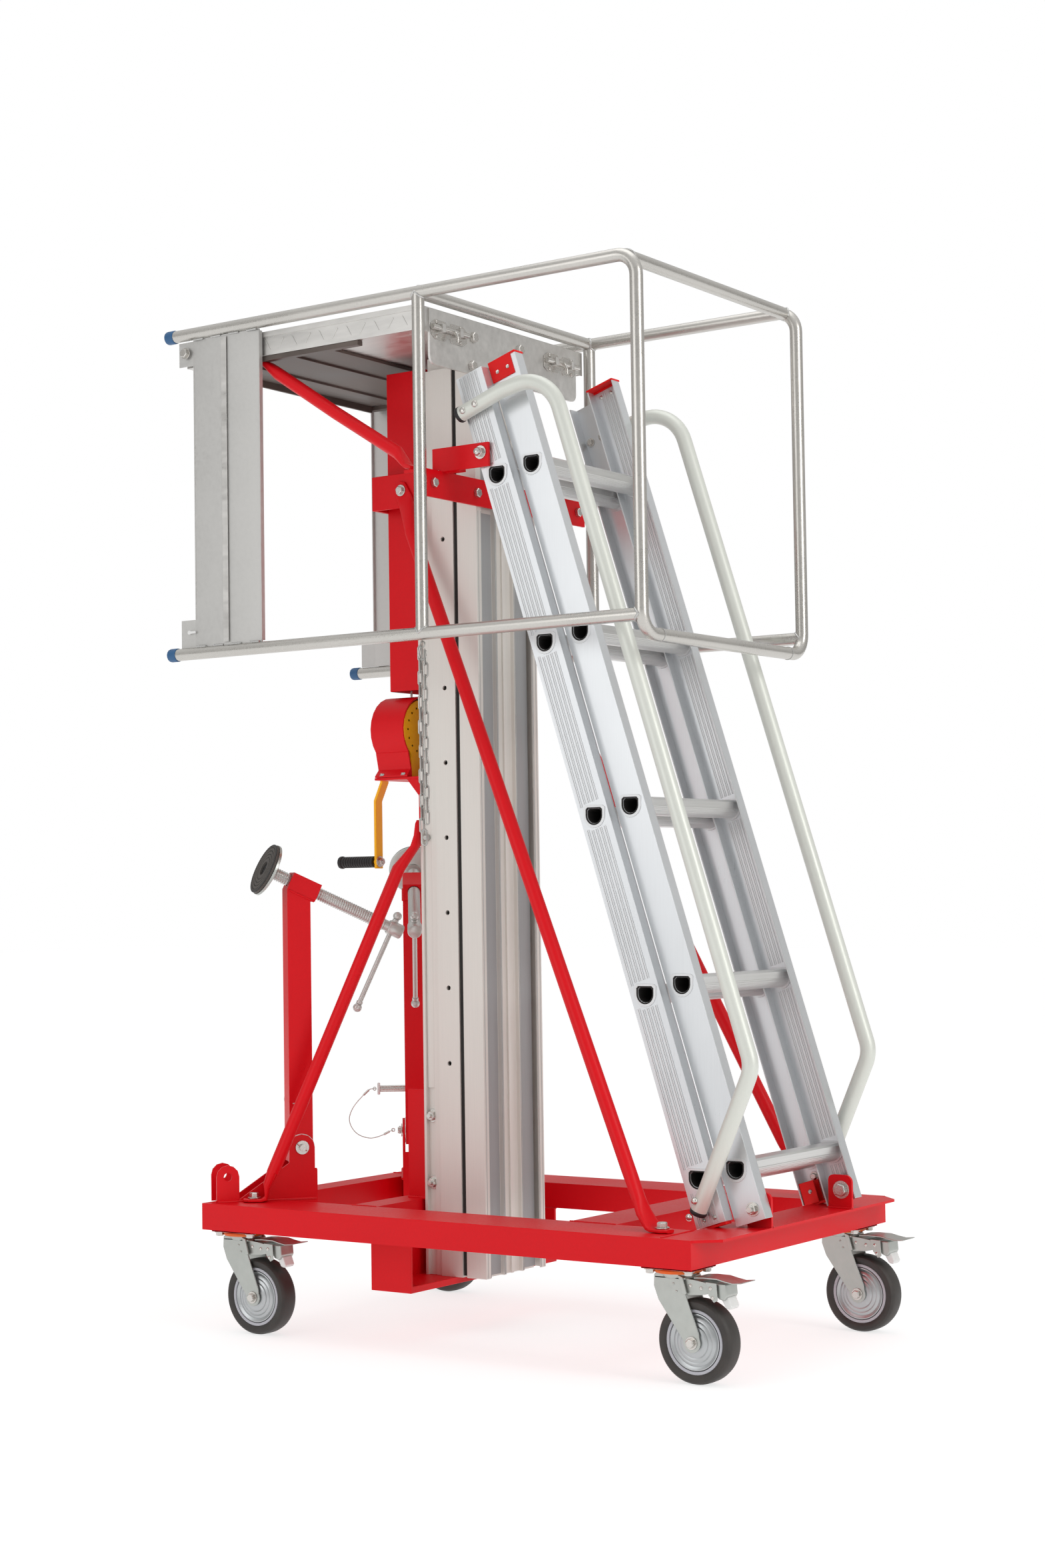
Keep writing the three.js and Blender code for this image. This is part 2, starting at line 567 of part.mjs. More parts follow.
// ---------------------------------------------------------------- ladder
// ladder space: s runs up the slope, n across it towards +X
const COS = Math.cos(LADDER_TILT);
const SIN = Math.sin(LADDER_TILT);
const OUT = [COS, 0, SIN];
const inLadder = (n, s, y) => [n * COS - s * SIN, y, n * SIN + s * COS];

// D-shaped rung outline about a point, its flat side up and level
function rungOutline(radius) {
  const flat = radius * 0.8;
  const level = arc(0, 0, radius, 180, 360, 8);
  return [...level, [radius, flat - 4], [radius - 4, flat], [-radius + 4, flat], [-radius, flat - 4]];
}

function ladderSection({ n, web, flange, s, rung }) {
  const half = STILE_W / 2;
  const channel = (side) => {
    const y = (depth) => side * (web - depth);
    const outline = [[n - half, y(0)], [n + half, y(0)], [n + half, y(flange)],
      [n + half - 2.5, y(flange)], [n + half - 2.5, y(3)], [n - half + 2.5, y(3)],
      [n - half + 2.5, y(flange)], [n - half, y(flange)]];
    return plate(side > 0 ? outline : outline.reverse(), [0, 0, 0], OUT, Y_AXIS, ...s);
  };
  const rungs = [];
  const bores = [];
  for (let i = 0; i < RUNG_COUNT; i += 1) {
    const centre = inLadder(n, rung + i * RUNG_PITCH, 0);
    rungs.push(plate(rungOutline(19), centre, X_AXIS, Z_AXIS, -web, web));
    bores.push(plate(rungOutline(15.5), centre, X_AXIS, Z_AXIS, -web - 1, web + 1));
  }
  return cut(join(channel(-1), channel(1), rungs), bores);
}

// foot bolts pass through the lower section's webs
function ladderLower() {
  const [x, z] = LADDER_PIVOT;
  const holes = SIDES.map(([, s]) => rod([x, s * 150, z], [x, s * 195, z], 6, 10));
  return cut(ladderSection(LOWER), holes);
}
add('ladder_lower', ladderLower(), LADDER);

function ladderUpper() {
  const [x, z] = ARM_PIVOT;
  const holes = SIDES.map(([, s]) => rod([x, s * 200, z], [x, s * 220, z], 5.5, 10));
  return cut(ladderSection(UPPER), holes);
}
add('ladder_upper', ladderUpper(), LADDER);

// handrail: leaves the stile top, bends down beside the ladder and returns to its foot
const HANDRAIL_R = 15;
for (const [name, s] of SIDES) {
  const y = s * (UPPER.web + HANDRAIL_R + GAP);
  const corners = [[537, 1714], [640, 1718], [754, 1706], [754, 338], [562, 122]]
    .map(([n, up]) => inLadder(n, up, y));
  add(`handrail_${name}`, tube(corners, HANDRAIL_R, [60, 84, 60], 12), RAIL_GREY);
}

// ---------------------------------------------------------------- stabiliser legs
// leg space: t runs outwards, z up, and the thickness lies across the swing plane
function legSpace(s) {
  const out = [LEG_DIR[0], s * LEG_DIR[1], 0];
  const origin = [LEG_X, s * LEG_Y, 0];
  const side = new THREE.Vector3(...out).cross(new THREE.Vector3(0, 0, 1)).toArray();
  const at = (t, z, w = 0) => [origin[0] + t * out[0] + w * side[0],
    origin[1] + t * out[1] + w * side[1], z];
  return { out, origin, at };
}

for (const [name, s] of SIDES) {
  const { out, origin, at } = legSpace(s);
  const half = LEG_SIZE / 2;
  const [su, sv] = SCREW_AXIS;
  const along = (d, off = 0) => [d * su + off * sv, SCREW_MID_Z + d * sv - off * su];
  const slab = (outline, from, to) => plate(outline, origin, out, Z_AXIS, from, to);
  // square tube, closed by a slanted nut block that the screw passes through
  const post = slab([[-half, 332], [half, 332], along(17, 20), along(17, 0),
    along(-half / su, 0)], -half, half);
  const bore = slab([[-half + 3, 320], [half - 3, 320], [half - 3, 862], [-half + 3, 836]],
    -half + 3, half - 3);
  const block = slab([along(-46, 20), along(17, 20), along(17, -17), along(-46, -17)], -24, 24);
  const screwHole = rod(at(...along(-60)), at(...along(60)), 13.4, 16);
  const pins = [[0, LEG_PIVOT_Z], [0, 450], UNFOLDED_HOLE].map(([t, z]) =>
    rod(at(t, z, -half - 1), at(t, z, half + 1), 7.5, 12));
  add(`stabiliser_leg_${name}`, cut(join(cut(post, bore), block), screwHole, pins), RED);

  const screw = join(rod(at(...along(-230)), at(...along(52)), 12.6, 16),
    rod(at(...along(-244)), at(...along(-212)), 15, 12));
  const barHole = rod(at(...along(-222, -22)), at(...along(-222, 22)), 5.6, 10);
  add(`jack_screw_${name}`, cut(screw, barHole), ZINC);

  add(`tommy_bar_${name}`, join(rod(at(...along(-222, -27)), at(...along(-222, 178)), 5, 10),
    ball(at(...along(-222, -27)), 9), ball(at(...along(-222, 178)), 9)), ZINC);

  add(`foot_pad_${name}`, join(rod(at(...along(52.5)), at(...along(60)), 20, 16),
    rod(at(...along(58)), at(...along(72)), 55, 28)), ZINC);

  add(`lock_pin_${name}`, join(rod(at(0, 450, s * 28), at(0, 450, -s * 80), 7, 12),
    rod(at(0, 450, -s * 78), at(0, 450, -s * 84), 12, 16)), ZINC);
}

// wire loop between the far lock pin's head and the leg
function lanyard() {
  const { at } = legSpace(1);
  const loop = [[0, 450, -87], [1, 449, -100], [2, 437, -114], [4, 413, -135], [5, 389, -145],
    [6, 369, -141], [6, 352, -126], [5, 344, -101], [4, 349, -77], [2, 357, -61], [0, 361, -51]]
    .map(([t, z, w]) => at(t, z, w));
  const path = new THREE.CatmullRomCurve3(loop.map((p) => new THREE.Vector3(...p)));
  const section = new THREE.Shape(arc(0, 0, 1.5, 0, 360, 8).slice(1)
    .map(([u, v]) => new THREE.Vector2(u, v)));
  return solid(new THREE.ExtrudeGeometry(section, { steps: 30, extrudePath: path }));
}
add('pin_lanyard', lanyard(), ZINC);

// ---------------------------------------------------------------- casters
function casterFork(x, y) {
  const axle = [x + TRAIL, y, WHEEL_R];
  const cheek = (s) => {
    const outline = [[x - 26, 176], [x + 26, 176], [x + 34, 150], [x + TRAIL + 14, 84],
      ...arc(x + TRAIL, WHEEL_R, 16, 20, -200, 7), [x - 24, 140]];
    const y0 = y + s * 24;
    return spread(outline, Math.min(y0, y0 + s * 4), Math.max(y0, y0 + s * 4));
  };
  const head = join(
    rod([x, y, 168], [x, y, CASTER_PLATE_Z - GAP], 28, 16),
    box(x - 26, x + 26, y - 28, y + 28, 168, 178));
  const axleBar = rod([axle[0], y - 33, axle[2]], [axle[0], y + 33, axle[2]], 6, 12);
  return join(head, cheek(-1), cheek(1), axleBar);
}

function casterWheel(x, y) {
  const half = WHEEL_W / 2;
  const profile = [[6.3, -half], [50, -half + 6], [56, -half], [67, -half], [WHEEL_R, -8],
    [WHEEL_R, 8], [67, half], [56, half], [50, half - 6], [6.3, half], [6.3, -half]]
    .map(([r, w]) => new THREE.Vector2(r, w));
  const geometry = new THREE.LatheGeometry(profile, 24);
  geometry.translate(x + TRAIL, y, WHEEL_R);
  return solid(geometry);
}

// brake pedal: a folded sheet lever over the wheel, hinged on the fork
function brakePedal(x, y) {
  const cheek = [[x + 36, 152], [x + 60, 158], [x + 104, 164], [x + 108, 178], [x + 40, 184],
    [x + 30, 170]];
  const sides = [-1, 1].map((s) => spread(cheek, y + s * 20 - 1.5, y + s * 20 + 1.5));
  const top = spread([[x + 38, 180], [x + 108, 174], [x + 140, 176], [x + 140, 179],
    [x + 108, 178], [x + 38, 184]], y - 21.5, y + 21.5);
  return join(sides, top);
}

for (const [end, ex] of [['left', -1], ['right', 1]]) {
  for (const [name, s] of SIDES) {
    const x = ex * SWIVEL_X;
    const y = s * SWIVEL_Y;
    const tag = `${name}_${end}`;
    add(`caster_fork_${tag}`, casterFork(x, y), ZINC);
    add(`caster_wheel_${tag}`, casterWheel(x, y), RUBBER);
    add(`brake_pedal_${tag}`, brakePedal(x, y), ZINC);
  }
}

export default lift;
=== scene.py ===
"""Looks of the hand-winched mobile work platform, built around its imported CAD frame."""
import math

import bmesh
import bpy
from mathutils import Matrix, Quaternion, Vector


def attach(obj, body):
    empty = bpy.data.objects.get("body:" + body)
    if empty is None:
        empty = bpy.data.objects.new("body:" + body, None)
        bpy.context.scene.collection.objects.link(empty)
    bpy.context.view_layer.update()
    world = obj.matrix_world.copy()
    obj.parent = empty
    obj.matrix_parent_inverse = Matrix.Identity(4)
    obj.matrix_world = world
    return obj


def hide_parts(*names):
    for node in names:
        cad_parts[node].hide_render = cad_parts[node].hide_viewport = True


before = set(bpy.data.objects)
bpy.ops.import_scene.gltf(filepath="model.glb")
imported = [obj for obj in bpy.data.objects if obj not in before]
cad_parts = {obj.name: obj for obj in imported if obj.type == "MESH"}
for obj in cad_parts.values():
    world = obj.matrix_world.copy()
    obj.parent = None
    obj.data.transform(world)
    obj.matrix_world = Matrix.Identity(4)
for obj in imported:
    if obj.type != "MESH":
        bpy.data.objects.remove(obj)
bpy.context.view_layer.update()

# places and sizes that several pieces share, in millimetres
MIDDLE_X = -29.5             # middle of the outline, where the frame's origin is
BASE_TOP = 259               # weld line on top of the base rails
EAR_W = 31.5                 # outer faces of the stabiliser ears, across the leg
LEG_ORIGIN = (-462, 197)
LEG_OUT = (-0.611, 0.7916)   # the way a leg swings out
SCREW_DIR = (0.9048, 0.4258)    # outwards and up
SCREW_Z = 893                # where the screw crosses the leg
PIVOT_Z, PIN_Z = 360.5, 450  # leg pivot and lock pin
SPARE_HOLE = (-2.7, 521.3)   # the leg's third hole
NUT_BLOCK = (-47, 18)        # where the thread stops on either side of the nut block
THREAD_PITCH, THREAD_STEPS = 5, 18    # millimetres and sections for each turn
TOMMY_AT = -222              # tommy bar, along the screw
GROOVE_Y = 94.3              # where nuts sit in the grooves of the mast's sides
FOOT_Z, FIXED_TOP = 112, 1920   # ends of the long lines on the mast
ARM_X, ARM_Y, ARM_Z = 35, 222.2, 1719    # bolts of the ladder bar's arms
LUG_X, LUG_Z = 588, 293.5    # bolts at the foot of the ladder
HANDRAIL_Y = 227.3
DECK_X = (-623, -64.5)
DECK_Y, DECK_LOW, DECK_TOP = 285, 1963, 2012
DECK_END = -668              # ends of the side rails that carry the cage
PANEL_X = -58.4              # face of the front panel
LATCH_X, LATCH_Z = -51.6, 1972
TOE_Y = 303.6                # outer faces of the toe boards
CAGE_Y, CAGE_R = 300, 12.5
CAGE_TOP, CAGE_LOW, CAGE_CROSS = 2030, 1368, 1334
CAGE_BACK, CAGE_MID, CAGE_END = -704, -53, 446
CASTER_X, CASTER_Y, CASTER_TOP = 507, 312, 200.4    # swivels, and their mounting face
TRAIL, WHEEL_Z = 41, 75      # axle behind the swivel, and its height
WINCH_Y, WINCH_Z = -45, 1203    # axis of the drum and crank
CRANK_X, CRANK_Z = -364, 936    # where the grip sits on the crank

X, Y, Z = Vector((1, 0, 0)), Vector((0, 1, 0)), Vector((0, 0, 1))
SIDES = (("near", -1), ("far", 1))


def metres(point):
    """A point in millimetres, as metres in the frame."""
    return Vector(((point[0] - MIDDLE_X) / 1000, point[1] / 1000, point[2] / 1000))


def new_object(name, data):
    obj = bpy.data.objects.new(name, data)
    bpy.context.scene.collection.objects.link(obj)
    return obj


def new_node(nodes, kind, values=()):
    """A shader node with some of its inputs set."""
    node = nodes.new(kind)
    for socket, value in values:
        node.inputs[socket].default_value = value
    return node


# ---- camera and light
def add_camera():
    yaw, pitch, roll = math.radians(34.947), math.radians(2.524), math.radians(-0.842)
    forward = Vector((-math.sin(yaw) * math.cos(pitch), math.cos(yaw) * math.cos(pitch),
                      math.sin(pitch)))
    level = Vector((math.cos(yaw), math.sin(yaw), 0))
    upright = level.cross(forward)
    right = math.cos(roll) * level + math.sin(roll) * upright
    up = -math.sin(roll) * level + math.cos(roll) * upright
    data = bpy.data.cameras.new("camera")
    data.lens = 58.01
    data.sensor_width = data.sensor_height = 36
    data.sensor_fit = "AUTO"
    data.clip_end = 100
    camera = new_object("camera", data)
    turn = Matrix((right, up, -forward)).transposed().to_4x4()
    camera.matrix_world = Matrix.Translation(metres((2872.6, -4157.4, 862.2))) @ turn
    bpy.context.scene.camera = camera


def add_light(name, place, target, size, power, colour=(1, 1, 1)):
    data = bpy.data.lights.new(name, "AREA")
    data.shape = "RECTANGLE"
    data.size, data.size_y = size
    data.energy = power
    data.color = colour
    light = new_object(name, data)
    aim = (Vector(target) - Vector(place)).to_track_quat("-Z", "Y")
    light.matrix_world = Matrix.Translation(place) @ aim.to_matrix().to_4x4()


add_camera()
world = bpy.data.worlds.new("studio")
bpy.context.scene.world = world
world.use_nodes = True


def set_sky():
    """White behind the object; a softer grey room, lighter overhead, for its light."""
    nodes, links = world.node_tree.nodes, world.node_tree.links
    room = nodes["Background"]
    place = nodes.new("ShaderNodeTexCoord")
    height = nodes.new("ShaderNodeSeparateXYZ")
    links.new(place.outputs["Generated"], height.inputs[0])
    ramp = nodes.new("ShaderNodeValToRGB")
    ramp.color_ramp.elements[0].position = 0.0
    ramp.color_ramp.elements[0].color = (0.42, 0.42, 0.42, 1)
    ramp.color_ramp.elements[1].position = 1.0
    ramp.color_ramp.elements[1].color = (0.95, 0.95, 0.95, 1)
    for position, grey in ((0.45, 0.34), (0.6, 0.5)):
        ramp.color_ramp.elements.new(position).color = (grey, grey * 0.985, grey * 0.96, 1)
    spread = new_node(nodes, "ShaderNodeMapRange", [("From Min", -1)])
    links.new(height.outputs["Z"], spread.inputs["Value"])
    links.new(spread.outputs["Result"], ramp.inputs["Fac"])
    links.new(ramp.outputs["Color"], room.inputs["Color"])
    room.inputs["Strength"].default_value = 0.95
    white = new_node(nodes, "ShaderNodeBackground", [("Color", (1, 1, 1, 1))])
    seen = nodes.new("ShaderNodeLightPath")
    choose = nodes.new("ShaderNodeMixShader")
    links.new(seen.outputs["Is Camera Ray"], choose.inputs[0])
    links.new(room.outputs[0], choose.inputs[1])
    links.new(white.outputs[0], choose.inputs[2])
    links.new(choose.outputs[0], nodes["World Output"].inputs["Surface"])


set_sky()
bpy.context.scene.view_settings.view_transform = "Standard"


# ---- materials
def material(name, colour, roughness, metallic=0.0, *, grain=(1, 1, 1), scale=40.0,
             tint=0.06, wear=0.08, bump=0.03, coat=0.0, coat_roughness=0.1, specular=0.5):
    """Principled surface whose colour, roughness and height vary with a stretched noise."""
    made = bpy.data.materials.new(name)
    made.use_nodes = True
    nodes, links = made.node_tree.nodes, made.node_tree.links
    shader = nodes["Principled BSDF"]
    place = nodes.new("ShaderNodeTexCoord")
    stretch = new_node(nodes, "ShaderNodeMapping", [("Scale", grain)])
    links.new(place.outputs["Object"], stretch.inputs["Vector"])
    fine = new_node(nodes, "ShaderNodeTexNoise", [("Scale", scale), ("Detail", 6)])
    broad = new_node(nodes, "ShaderNodeTexNoise", [("Scale", 5), ("Detail", 3)])
    links.new(stretch.outputs["Vector"], fine.inputs["Vector"])
    links.new(place.outputs["Object"], broad.inputs["Vector"])
    both = nodes.new("ShaderNodeMath")
    both.operation = "ADD"
    links.new(fine.outputs["Fac"], both.inputs[0])
    links.new(broad.outputs["Fac"], both.inputs[1])
    ramp = new_node(nodes, "ShaderNodeMapRange", [("From Min", 0.6), ("From Max", 1.4)])
    links.new(both.outputs[0], ramp.inputs["Value"])
    mix = nodes.new("ShaderNodeMix")
    mix.data_type = "RGBA"
    mix.inputs["A"].default_value = (*[max(c * (1 - tint), 0) for c in colour], 1)
    mix.inputs["B"].default_value = (*[min(c * (1 + tint), 1) for c in colour], 1)
    links.new(ramp.outputs["Result"], mix.inputs["Factor"])
    links.new(mix.outputs["Result"], shader.inputs["Base Color"])
    rough = new_node(nodes, "ShaderNodeMapRange", [("To Min", max(roughness - wear, 0.03)),
                                                   ("To Max", min(roughness + wear, 1))])
    links.new(ramp.outputs["Result"], rough.inputs["Value"])
    links.new(rough.outputs["Result"], shader.inputs["Roughness"])
    if bump:
        height = new_node(nodes, "ShaderNodeBump", [("Strength", bump), ("Distance", 0.001)])
        links.new(fine.outputs["Fac"], height.inputs["Height"])
        links.new(height.outputs["Normal"], shader.inputs["Normal"])
    for socket, value in (("Metallic", metallic), ("Specular IOR Level", specular),
                          ("Coat Weight", coat), ("Coat Roughness", coat_roughness)):
        shader.inputs[socket].default_value = value
    return made


RED = material("red_paint", (0.67, 0.0004, 0.006), 0.42, scale=220, tint=0.05, bump=0.05,
               coat=0.03, coat_roughness=0.2, specular=0.22)
RED_PLASTIC = material("red_plastic", (0.74, 0.004, 0.005), 0.45, scale=300, bump=0.04,
                       specular=0.25)
MAST = material("mast_anodised", (0.71, 0.685, 0.645), 0.52, 0.3, grain=(1, 1, 0.02),
                scale=400, tint=0.04, bump=0.01)
# dark grey for painted shade on the mast's recess floors, also used for thin lines on its face
RECESS_SHADE_AND_LINES = material("mast_recess_shade_and_lines", (0.36, 0.365, 0.37), 0.55, 0.3, grain=(1, 1, 0.02),
                 scale=400, bump=0.01)
TUBE = material("tube_brushed", (0.56, 0.545, 0.515), 0.30, 0.9, scale=250, tint=0.07,
                bump=0.05)
WELD = material("weld_bead", (0.56, 0.56, 0.55), 0.38, 0.9, scale=500, tint=0.12, bump=0.3)
SHEET = material("sheet_matt", (0.56, 0.555, 0.54), 0.5, 0.65, scale=120, tint=0.06,
                 wear=0.12, bump=0.04)
GALV = material("sheet_worn", (0.66, 0.65, 0.63), 0.38, 0.85, grain=(0.2, 1, 1), scale=90,
                tint=0.12, wear=0.14, bump=0.08)
# painted shade: the deck's underside is coloured dark brown because it lies in shadow
UNDERSIDE_SHADE = material("deck_underside_painted_shade", (0.105, 0.083, 0.072), 0.5, 0.3, scale=12, tint=0.4)
LADDER = material("ladder_mill", (0.68, 0.69, 0.70), 0.40, 0.7, grain=(1, 1, 0.04),
                  scale=500, tint=0.08, wear=0.1, bump=0.08)
LADDER_SMOOTH = material("ladder_front", (0.70, 0.72, 0.74), 0.34, 0.75, grain=(1, 1, 0.02),
                         scale=500, tint=0.04, bump=0.03)
RUNG = material("rung_fluted", (0.66, 0.66, 0.65), 0.36, 0.8, grain=(1, 0.02, 1), scale=420,
                tint=0.08, bump=0.08)
HANDRAIL = material("handrail_grey", (0.66, 0.68, 0.63), 0.42, 0.25, scale=260, tint=0.03,
                    bump=0.03, coat=0.15, coat_roughness=0.3)
ZINC = material("zinc", (0.47, 0.49, 0.465), 0.36, 0.8, scale=60, tint=0.1, wear=0.08,
                bump=0.02)
STEEL = material("stainless", (0.62, 0.60, 0.57), 0.26, 0.95, scale=300, tint=0.08, bump=0.04)
SCREW = material("bright_steel", (0.58, 0.58, 0.56), 0.36, 0.7, scale=300, tint=0.08,
                 bump=0.03)
CHAIN = material("chain_steel", (0.42, 0.41, 0.39), 0.34, 0.85, scale=300, tint=0.1,
                 bump=0.03)
HUB = material("hub_plate", (0.47, 0.49, 0.50), 0.34, 0.85, scale=60, tint=0.05, wear=0.05,
               bump=0.008)
RIM = material("rim_grey", (0.46, 0.46, 0.50), 0.5, 0.0, scale=300, bump=0.03)
RUBBER = material("tyre_rubber", (0.036, 0.031, 0.028), 0.55, scale=35, tint=0.6, wear=0.2,
                  bump=0.25, specular=0.5)
PAD = material("pad_rubber", (0.085, 0.075, 0.068), 0.6, scale=260, tint=0.25, bump=0.1,
               specular=0.3)
YELLOW = material("yellow_paint", (1.0, 0.47, 0.002), 0.4, scale=220, tint=0.05, bump=0.05,
                  coat=0.1, coat_roughness=0.2, specular=0.35)
BLACK = material("black_plastic", (0.012, 0.012, 0.013), 0.5, scale=300, tint=0.2, bump=0.06)
DARK = material("dark_inside", (0.015, 0.013, 0.012), 0.8, scale=100, tint=0.2)
BLUE = material("blue_cap", (0.02, 0.10, 0.24), 0.45, scale=250, tint=0.1, bump=0.05)
ORANGE = material("orange_seal", (0.80, 0.13, 0.005), 0.5, scale=250, tint=0.1, bump=0.05)
WHITE = material("white_tab", (0.75, 0.75, 0.74), 0.45, scale=250, tint=0.05, bump=0.03)


# ---- mesh building
def turns(steps):
    """Angles that share a full turn between them."""
    return [2 * math.pi * k / steps for k in range(steps)]


class Shape:
    """Vertices in millimetres and faces, gathered into one mesh by piece()."""

    def __init__(self):
        self.verts, self.faces = [], []

    def add(self, verts, faces):
        first = len(self.verts)
        self.verts += [Vector(v) for v in verts]
        self.faces += [[i + first for i in face] for face in faces]
        return self

    def loft(self, rings, loop=False):
        """Skin over rings of equal length, capped, or joined last to first by loop."""
        n = len(rings[0])
        faces = []
        for a in range(len(rings) if loop else len(rings) - 1):
            b = (a + 1) % len(rings)
            for i in range(n):
                j = (i + 1) % n
                faces.append([a * n + i, a * n + j, b * n + j, b * n + i])
        if not loop:
            faces.append(list(reversed(range(n))))
            faces.append([(len(rings) - 1) * n + i for i in range(n)])
        return self.add([p for ring in rings for p in ring], faces)

    def box(self, x0, x1, y0, y1, z0, z1):
        y0, y1 = sorted((y0, y1))
        low = [(x0, y0, z0), (x1, y0, z0), (x1, y1, z0), (x0, y1, z0)]
        return self.loft([low, [(x, y, z1) for x, y, _ in low]])

    def pair(self, x0, x1, inner, outer, z0, z1):
        """A box and its mirror image across the middle."""
        for side in (-1, 1):
            self.box(x0, x1, side * inner, side * outer, z0, z1)
        return self

    def prism(self, outline, u, v, start, end):
        """An outline in the plane of u and v, given thickness along their normal."""
        u, v = Vector(u).normalized(), Vector(v).normalized()
        n = u.cross(v)
        flat = [a * u + b * v for a, b in outline]
        return self.loft([[p + n * start for p in flat], [p + n * end for p in flat]])

    def slab(self, outline, y0, y1, x=0):
        """An outline of (x, z), moved along X, with its thickness between two y values."""
        low, high = sorted((y0, y1))
        return self.prism([(x + u, v) for u, v in outline], X, Z, -high, -low)

    def rod(self, a, b, radius, sides=20):
        a, b = Vector(a), Vector(b)
        return self.turned([(radius, 0), (radius, (b - a).length)], a, b - a, sides)

    def turned(self, profile, origin, axis, steps=32, loop=False):
        """An outline of (radius, height) turned about an axis through origin."""
        axis, origin = Vector(axis).normalized(), Vector(origin)
        side = axis.orthogonal().normalized()
        other = axis.cross(side)
        rings = [[origin + axis * h + r * (math.cos(t) * side + math.sin(t) * other)
                  for t in turns(steps)] for r, h in profile]
        return self.loft(rings, loop=loop)

    def ring(self, profile, origin, axis, steps=32):
        """A turned outline that closes on itself, hollow in the middle."""
        return self.turned(profile, origin, axis, steps, loop=True)

    def sweep(self, path, radius, sides=16, loop=False):
        """A round bar along a path; radius is a number or one for each point."""
        path = [Vector(p) for p in path]
        radii = radius if isinstance(radius, (list, tuple)) else [radius] * len(path)
        rings, side = [], None
        for i, point in enumerate(path):
            before = path[i - 1] if i or loop else path[0]
            after = path[(i + 1) % len(path)] if i < len(path) - 1 or loop else path[-1]
            along = (after - before).normalized()
            side = along.orthogonal() if side is None else side - along * side.dot(along)
            side = side.normalized()
            other = along.cross(side)
            rings.append([point + radii[i] * (math.cos(t) * side + math.sin(t) * other)
                          for t in turns(sides)])
        return self.loft(rings, loop=loop)

    def flat_bar(self, stations):
        """Loft of rounded sections (centre, side vector, half width, thickness vector,
        half thickness), which turns a round tube into a pressed flat end."""
        rings = []
        for centre, side, wide, thick_way, thick in stations:
            power = 0.35 + 0.65 * min(thick, wide) / max(thick, wide)    # 1 is round
            ring = []
            for t in turns(20):
                c, s = math.cos(t), math.sin(t)
                ring.append(Vector(centre)
                            + Vector(side) * wide * math.copysign(abs(c) ** power, c)
                            + Vector(thick_way) * thick * math.copysign(abs(s) ** power, s))
            rings.append(ring)
        return self.loft(rings)

    def hexagon(self, at, axis, across, height, washer=0.0):
        """Hexagon head with a turned-off rim, on an optional washer."""
        at, axis = Vector(at), Vector(axis).normalized()
        radius = across / math.sqrt(3)
        if washer:
            self.turned([(across * 0.78, 0), (across * 0.78, washer)], at, axis, 24)
            at = at + axis * washer
        self.turned([(radius, 0), (radius, height * 0.82), (radius * 0.84, height)],
                    at, axis, 6)
        return self


def filleted(corners, radii, steps=8):
    """The corners joined by straight runs and true arcs."""
    corners = [Vector(c) for c in corners]
    points = [corners[0]]
    for i in range(1, len(corners) - 1):
        back = (corners[i - 1] - corners[i]).normalized()
        ahead = (corners[i + 1] - corners[i]).normalized()
        half = back.angle(ahead) / 2
        reach = radii[i - 1] / math.tan(half)
        centre = corners[i] + (back + ahead).normalized() * radii[i - 1] / math.sin(half)
        start, end = corners[i] + back * reach - centre, corners[i] + ahead * reach - centre
        turn = start.rotation_difference(end)
        for k in range(steps + 1):
            points.append(centre + Quaternion().slerp(turn, k / steps) @ start)
    return points + [corners[-1]]


def arc(u, v, radius, start, end, steps=8):
    """Points on an arc between two angles in degrees."""
    return [(u + radius * math.cos(math.radians(start + (end - start) * k / steps)),
             v + radius * math.sin(math.radians(start + (end - start) * k / steps)))
            for k in range(steps + 1)]


def dress(obj, look, body, bevel, smooth, join_flats=False):
    """Merges, smooths and bevels a mesh, and puts it on its body."""
    mesh = obj.data
    bm = bmesh.new()
    bm.from_mesh(mesh)
    bmesh.ops.remove_doubles(bm, verts=bm.verts, dist=2e-6)
    if join_flats:
        bmesh.ops.dissolve_limit(bm, angle_limit=math.radians(0.6), verts=bm.verts,
                                 edges=bm.edges)
    bmesh.ops.recalc_face_normals(bm, faces=bm.faces)
    for face in bm.faces:
        face.smooth = True
    limit = math.radians(smooth)
    for edge in bm.edges:
        edge.smooth = not (edge.is_manifold and edge.calc_face_angle() > limit)
    bm.to_mesh(mesh)
    bm.free()
    mesh.materials.clear()
    mesh.materials.append(look)
    if bevel:
        edges = obj.modifiers.new("edges", "BEVEL")
        edges.width = bevel / 1000
        edges.segments = 2
        edges.limit_method = "ANGLE"
        edges.angle_limit = math.radians(32)
        edges.use_clamp_overlap = True
        edges.harden_normals = True
    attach(obj, body)


def piece(name, shape, look, body, replaces=(), bevel=0.0, smooth=34):
    mesh = bpy.data.meshes.new(name)
    mesh.from_pydata([metres(v) for v in shape.verts], [], shape.faces)
    mesh.update()
    obj = new_object(name, mesh)
    dress(obj, look, body, bevel, smooth)
    if replaces:
        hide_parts(*replaces)


def finished(node, look, body, bevel=1.0, smooth=34):
    """The CAD node's own shape with its edges broken."""
    obj = new_object(node + "_finish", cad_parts[node].data.copy())
    dress(obj, look, body, bevel, smooth, join_flats=True)
    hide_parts(node)


# ---- shared geometry
TILT = math.radians(17.66)
COS, SIN = math.cos(TILT), math.sin(TILT)
OUT = Vector((COS, 0, SIN))
RUNGS, RUNG_PITCH = 5, 349


def in_ladder(n, s, y):
    """n across the ladder's plane towards +X, s up its slope."""
    return Vector((n * COS - s * SIN, y, n * SIN + s * COS))


